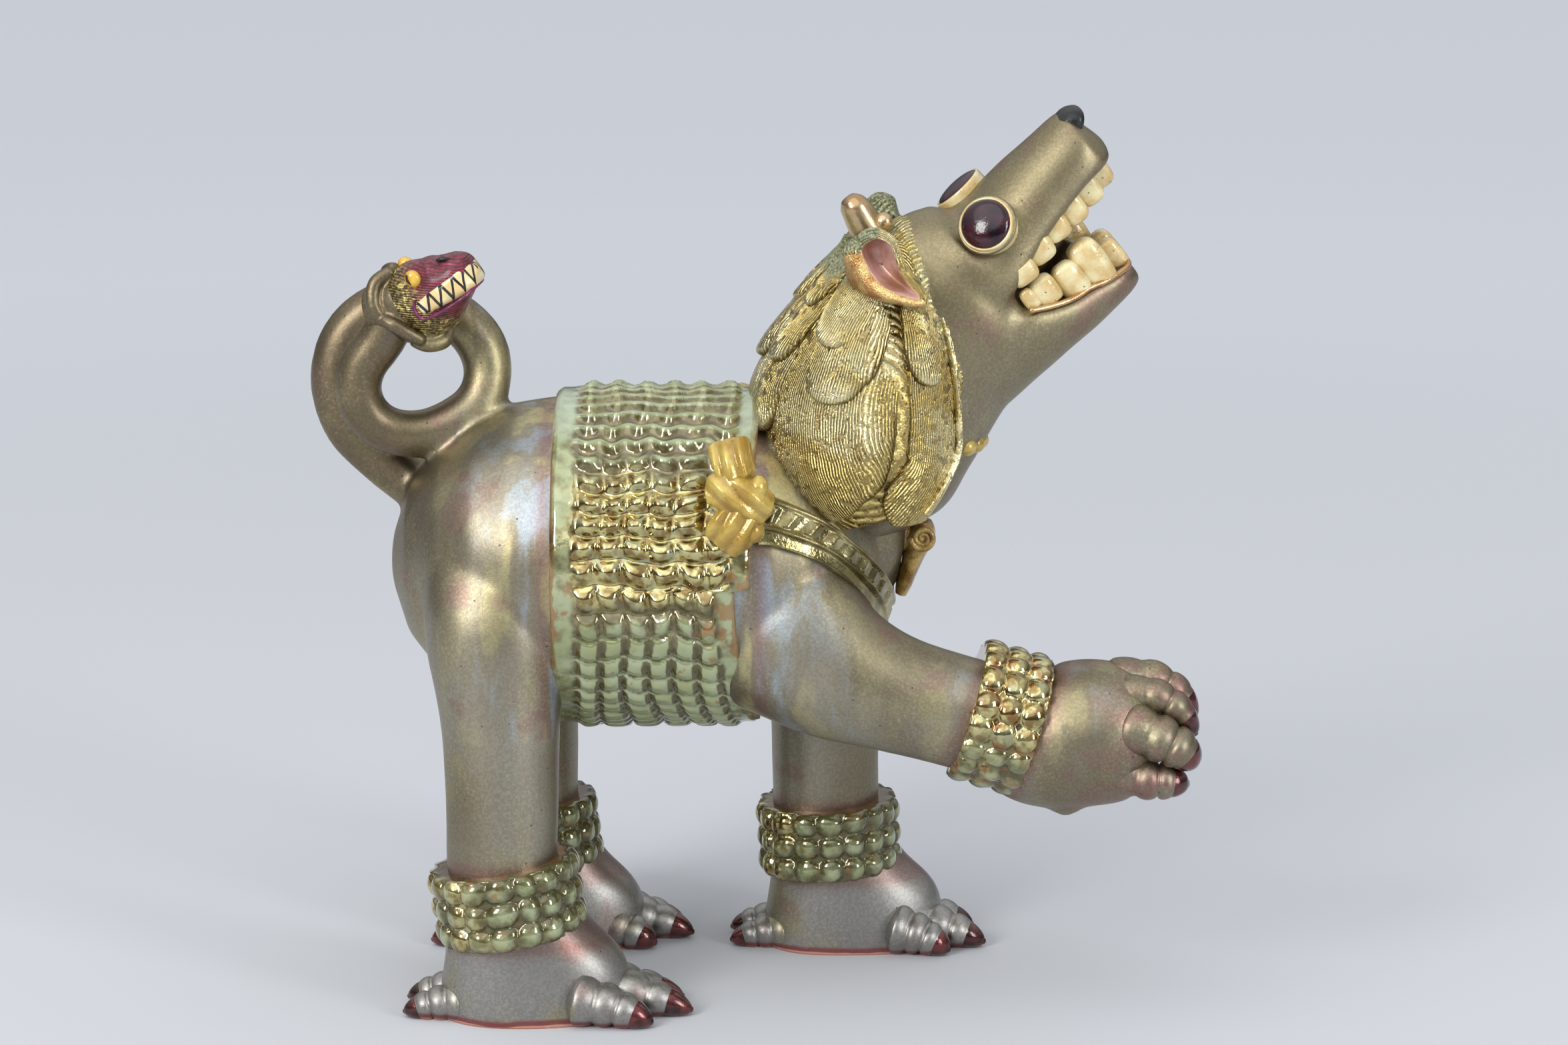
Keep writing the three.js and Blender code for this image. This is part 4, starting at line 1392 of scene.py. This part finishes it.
def add_band(form, x, y, z, turn, size=1.0, warmth=0.62):
    tip = Matrix.Rotation(math.radians(turn), 3, "Y")
    shift = rng.uniform(0, 9)

    def surface(u, v):
        angle = 2 * math.pi * u
        lie = (v - BAND_WALL) / (1 - 2 * BAND_WALL)
        turn_in = max(-lie, lie - 1, 0) / BAND_TURN
        at = (max(0, min(1, lie)) - 0.5) * BAND_HEIGHT
        drift = noise.noise(Vector((math.cos(angle) * 1.6 + shift, math.sin(angle) * 1.6, at / 30)))
        around = u * BEADS + 0.25 * drift
        along = max(0, min(0.9999, lie)) * BEAD_ROWS
        height = bead_relief(around, along + 0.12 * drift)
        radius = BAND_RADIUS + height * BEAD * (0.92 + 0.16 * drift) - 16 * turn_in
        spot = Vector((at, radius * math.cos(angle), radius * math.sin(angle))) * size
        dip = bead_relief(around, along)
        warm = warmth * (0.72 + 0.28 * math.sin(angle)) + 0.3 * drift
        burn = warmth * 0.9 - 0.45 + 2 * turn_in
        marks = {"high": 0.15 + 0.5 * dip * dip, "gild": warm, "hem": 0, "rose": burn}
        return Vector((x, y, z)) + tip @ spot, marks

    wrapped(form, BEADS * 14, 62, surface)


form = clay()
for x, side, _, tilt, *_ in LEGS:
    add_band(form, x + 2, side * STANCE, FOOT_LIFT, -90 - tilt)
show("beaded_anklets", form, [celadon])
form = clay()
add_band(form, WRIST[0], RAISED_Y, WRIST[1], turn=17, size=0.95, warmth=0.95)
show("beaded_bracelet", form, [celadon])

# %% [markdown]
# ## Sash
# A cord-edged sash hangs from shoulder to shoulder across the chest: a wide tier with slanting
# leaves between two ridges, and a narrow plain tier under it. A grid is laid on the chest along
# the sash's line, and its relief is raised tier by tier.

# %% Sash
SASH = [(-80, 277), (-72, 275), (-55, 264), (-40, 247), (-28, 232), (-13, 215), (0, 206)]
SASH += [(-degrees, z) for degrees, z in SASH[-2::-1]]
SASH_FINE = even_rows(SASH, 161)
SASH_WIDTH, LEAVES = 25, 26
UPPER_CORD, LOWER_CORD = 2.2, 15.6  # millimetres down from the upper edge


def chest_spot(degrees, z, out):
    lift = z - HEIGHT
    reach = math.sqrt(max(1, (GIRTH + out) ** 2 - lift * lift))
    turn = math.radians(degrees)
    return Vector((CHEST + reach * math.cos(turn), reach * math.sin(turn), z))


def sash_relief(across, along):
    """Height in millimetres at across from the upper edge, with along in leaves."""
    edge = math.exp(-(((across - UPPER_CORD) / 1.5) ** 2))
    edge += math.exp(-(((across - LOWER_CORD) / 1.4) ** 2))
    slant = (along + across / 14) % 1
    leaf = max(0, 1 - abs(slant - 0.5) * 2.6) * inside(across, 3.5, 5.5) * inside(14.5 - across, 0, 2)
    vein = 0.35 * math.exp(-(((slant - 0.5) / 0.05) ** 2)) if leaf > 0 else 0
    plain = inside(across, 16.6, 18) * inside(24.4 - across, 0, 1.4)
    return 2.6 + 2.0 * edge + 1.7 * leaf - 0.5 * vein - plain * 0.4


def sash_surface(u, v):
    place = u * (len(SASH_FINE) - 1)
    k = min(int(place), len(SASH_FINE) - 2)
    degrees, z = [a + (b - a) * (place - k) for a, b in zip(SASH_FINE[k], SASH_FINE[k + 1])]
    across = v * SASH_WIDTH
    tuck = inside(abs(v - 0.5) * 2, 0.93, 1.0)
    ends = inside(abs(u - 0.5) * 2, 0.985, 1.0)
    height = sash_relief(across, u * LEAVES)
    out = 1.2 + height - 6 * max(tuck, ends)
    marks = {"high": height / 5, "across": across * 0.6, "green": 0.25}
    return chest_spot(degrees, z - across, out), marks


form = clay()
wrapped(form, 420, 60, sash_surface)
show("sash", form, [olive_gold])

# %% [markdown]
# ## Bows and drop
# An ochre bow is knotted over the jacket's front edge on each side: two pleated fans and a
# wrapped knot, with painted shade in the pleats' troughs. A scrolled drop hangs at the throat,
# with a row of small beads above it.


# %% Bows
def add_bow(form, side):
    def rows(points):
        return [(x, side * y, z, width, rise) for x, y, z, width, rise in points]

    top = [(-11.5, 78, 302, 7, 11), (-10, 84, 296, 8, 10.5), (-6.5, 88, 287, 7, 9.5)]
    fan(form, roll(form, rows(top), 64, 26, square=(2.8, 2.8), bulge=(0.12, 0.3)), side, 3, 1.4, 0.25)
    low = [(-3, 89, 271, 7, 9.5), (-10, 89, 261.5, 7.5, 12.5), (-15.5, 87, 254.5, 6, 10.5)]
    fan(form, roll(form, rows(low), 64, 26, square=(2.8, 2.8), bulge=(0.15, 0.2)), side, 3, 1.1, -0.6)
    wrap = [(-21, 85, 281, 6, 8), (-13, 88, 281, 8.5, 10.5), (-2, 88.8, 276, 9, 12)]
    wrap += [(6.5, 86, 271, 7, 9)]
    fan(form, roll(form, rows(wrap), 64, 32, bulge=(0.4, 0.5)), side, 3, 1.0, 1.1)
    ball(form, (0, side * 88, 261), (6.5, 7, 6.5))
    ball(form, (3, side * 89, 283), (5, 6, 6.5))


def fan(form, made, side, pleats, depth, slant):
    """Presses pleats into a roll, aslant by the given share of its height, and marks troughs for painted
    shade.
    """
    places = [v.co.x + slant * v.co.z for v in made]
    low, high = min(places), max(places)
    groove_shade = form.verts.layers.float["hem"]
    for v, place in zip(made, places):
        wave = math.sin((place - low) / (high - low) * pleats * 2 * math.pi)
        v.co.y += side * depth * wave
        v[groove_shade] = inside(-wave, 0.3, 1.0)


form = clay()
for side in (RIGHT, LEFT):
    add_bow(form, side)
show("bows", form, [ochre])


# %% Drop and beads
def add_scroll(form, centre, turns, radius, thick):
    rows = []
    for i in range(60):
        t = i / 59
        angle = turns * 2 * math.pi * t + math.pi
        r = radius * (1 - 0.86 * t)
        x, z = centre[0] + r * math.cos(angle), centre[2] + r * math.sin(angle)
        rows.append((x, centre[1], z, thick * (1 - 0.4 * t)))
    roll(form, rows, 14)


form = clay()
leaf = [(77.5, 0, 209, 4.5, 3), (79, 0, 214.3, 6.5, 4.2), (81.8, 0, 222.7, 8, 4.8)]
leaf += [(84.3, 0, 231, 9.5, 6), (87, 0, 239, 10.5, 7.6), (88.4, 0, 244.3, 10, 7.2)]
leaf += [(88.8, 0, 249, 7, 4.6)]
roll(form, leaf, 40, 40)
for side in (RIGHT, LEFT):
    add_scroll(form, (88.5, side * 10.2, 241), turns=2.2, radius=6.4, thick=1.9)
ball(form, (79, 0, 240), (8, 8, 8))
show("throat_drop", form, [honey])

form = clay()
for degrees in range(-50, 51, 20):
    turn = math.radians(degrees)
    ball(form, (96 + 21.5 * math.cos(turn), 34 * math.sin(turn), 292.5), (5.6, 5.6, 5.0), 20)
show("throat_beads", form, [ochre])

# %% [markdown]
# ## The tail's snake head
# The tail ends in a small crimson head with a flat cream band of teeth, on which the zigzag is
# painted, round yellow eyes, and a collar of three folded flaps. It is modelled level, as the
# lion's head was, and turned afterwards.

# %% Turning the snake head
NAPE = Vector((-186, -20, 368.5))
SNAKE_TURN = Euler((math.radians(14), math.radians(-20), math.radians(-22)), "XYZ").to_matrix()


def turn_snake(point):
    return NAPE + SNAKE_TURN @ point


# %% Snake glazes
def make_scales():
    g = Glaze("snake_crimson", Coat_Weight=0.3, Coat_Roughness=0.15)
    along, across = g.mark("along"), g.mark("across")
    line = g.math("SINE", (along * 0.35 + across * 0.95 + g.cloud(8) * 1.6) * 5.0) * 0.5 + 0.5
    toward = (along + across * 0.5 + (g.cloud(9) - 0.5) * 14).between(17, 30)
    skin = g.blend(g.cloud(2, 2).between(0.4, 0.6), ink(0.10, 0.075, 0.03), ink(0.42, 0.32, 0.12))
    red = g.blend(g.cloud(3, 2).between(0.35, 0.65), ink(0.10, 0.008, 0.02), ink(0.23, 0.02, 0.045))
    tone = g.blend(toward, skin, red)
    tone = g.blend(line.between(0.35, 0.0) * 0.7, tone, ink(0.03, 0.008, 0.01))
    fleck = g.cloud(4, 3).between(0.57, 0.63) * (1.0 - toward)
    tone = g.blend(fleck * 0.9, tone, ink(0.75, 0.62, 0.20))
    metal = 0.75 - toward * 0.5
    rough = 0.25 + g.cloud(2) * 0.2
    relief = g.relief(line * 0.28 + g.cloud(1.5) * 0.2)
    return g.finish(Base_Color=tone, Metallic=metal, Roughness=rough, Normal=relief)


def make_zigzag():
    g = Glaze("painted_teeth", Coat_Weight=0.4, Coat_Roughness=0.1)
    along, across = g.mark("along"), g.mark("across")
    saw = g.math("PINGPONG", along + (g.cloud(7) - 0.5) * 1.2, 4.3) / 4.3
    gap = g.math("ABSOLUTE", saw * 10.4 - 5.2 - across)
    line = gap.between(2.3, 1.8)
    tone = g.blend(g.cloud(10, 3).between(0.35, 0.7), ink(0.72, 0.52, 0.22), ink(0.82, 0.72, 0.44))
    tone = g.blend(line, tone, ink(0.012, 0.01, 0.01))
    rough = 0.22 + g.cloud(6) * 0.12
    return g.finish(
        Base_Color=tone, Roughness=rough, Normal=g.relief(line * 0.12 + g.cloud(2) * 0.15)
    )


scales = make_scales()
zigzag = make_zigzag()
yolk = make_small(
    "snake_eye", ink(0.62, 0.33, 0.03), ink(0.80, 0.52, 0.06),
    size=5, rough=0.15, metal=0.1, coat=0.6, grain=0.2,
)
purple = make_small(
    "snake_lip", ink(0.10, 0.008, 0.05), ink(0.24, 0.02, 0.12), size=5, rough=0.2, metal=0.2
)

# %% Snake skull
SKULL = [
    (2, 0, -2, 12, 14, 15), (13, 0, -4, 14.5, 19.5, 21), (25, 0, -5, 15.6, 19.4, 20),
    (35, 0, -3, 15, 17.8, 14), (44, 0, 0, 12.8, 12.4, 10.5), (50, 0, 0, 9, 8.8, 8),
]
BAND = [
    (22, 0, -6.6, 16.3, 5.2), (30, 0, -5.0, 16.6, 6.4), (40, 0, -2.9, 15.0, 7.0),
    (47, 0, -0.8, 12.0, 7.4), (51, 0, 0.2, 8.2, 7.2),
]
form = clay()
roll(form, SKULL, 40, 40, bulge=(0.3, 0.35))
along = form.verts.layers.float["along"]
across = form.verts.layers.float["across"]
for v in form.verts:
    v[along] = v.co.x
    v[across] = v.co.z
    v.co = turn_snake(v.co)
show("snake_skull", form, [scales])

# %% Snake teeth
form = clay()
roll(form, BAND, 48, 48, square=(3.4, 3.4), bulge=(0.25, 0.4))
along = form.verts.layers.float["along"]
across = form.verts.layers.float["across"]
middle = [(12, -8.4), (22, -6.6), (30, -5), (40, -2.9), (47, -0.8), (60, 1.6)]
for v in form.verts:
    x, z = v.co.x, v.co.z
    for (x0, z0), (x1, z1) in zip(middle, middle[1:]):
        if x0 <= x <= x1:
            v[across] = z - (z0 + (z1 - z0) * (x - x0) / (x1 - x0))
    v[along] = x + (16 - abs(v.co.y)) * 0.8
    v.co = turn_snake(v.co)
show("snake_teeth", form, [zigzag])

# %% Snake eyes, slits and nostrils
form = clay()
for side in (RIGHT, LEFT):
    x, y, z = (24, 12.6, 8.6) if side == RIGHT else (13, 6.8, 12.4)
    ball(form, (x, side * y, z), (4.3, 3.4, 4.6), 24, turn_snake)
show("snake_eyes", form, [yolk])

form = clay()
for side in (RIGHT, LEFT):
    x, y, z = (22.8, 12.6, 9.4) if side == RIGHT else (12, 6.8, 12.4)
    slit = [(x + 0.4, side * (y + 2.9), z - 2.6, 0.5), (x - 0.2, side * (y + 3.5), z, 0.7)]
    slit += [(x + 0.2, side * (y + 2.9), z + 2.8, 0.5)]
    roll(form, slit, 8, 10, place=turn_snake)
    y, z = (6.4, 12.2) if side == RIGHT else (10, 9.4)
    nostril = [(37.5, side * y, z, 0.7), (41, side * (y - 0.3), z - 0.5, 1.2)]
    nostril += [(44.5, side * (y - 1.2), z - 2, 0.7)]
    roll(form, nostril, 8, 10, place=turn_snake)
show("snake_slits", form, [jet])

# %% Snake lips
form = clay()
rows = [(21, 15.7, -1.6), (18.8, 15.4, -7), (21.5, 15.7, -12.3)]
rows += [(30, 16.0, -12.0), (40, 14.4, -10.4), (47, 11.6, -8.8)]
line = [(x, -w, z, 0.8) for x, w, z in rows] + [(51.5, 0, -7.4, 0.8)]
line += [(x, -y, z, swell) for x, y, z, swell in line[-2::-1]]
roll(form, line, 10, 90, place=turn_snake)
show("snake_lips", form, [purple])

# %% Snake collar
FLAPS = [
    [(9, 2, 13.6, 3.4), (1, 8, 12, 3.9), (-3, 13, 3, 3.9), (-1, 14.5, -8, 3.2)],
    [(0, 15.5, -6, 3.0), (4.5, 16.5, -10, 3.6), (9, 14.5, -17, 3.6), (13, 11, -24, 2.8)],
]
form = clay()
for side in (RIGHT, LEFT):
    for flap in FLAPS:
        roll(form, [(x, side * y, z, width) for x, y, z, width in flap], 20, 24)
roll(form, [(7, -10, -22, 3.2), (12, -7, -27.5, 4), (18, 0, -29.5, 4.4), (19, 8, -26, 3.2)], 20, 24)
ball(form, (14, 0, -20), (9, 9, 8))
rows = [(-12, 0, -2, 11.5, 11.5, 12), (-3, 0, -3, 13, 14, 16), (5, 0, -5, 14, 18, 20)]
rows += [(11, 0, -7, 13, 16, 21)]
roll(form, rows, 32, 24)
form = fuse(form, 0.8, 3)
for v in form.verts:
    v.co = turn_snake(v.co)
show("snake_collar", form, [lustre])
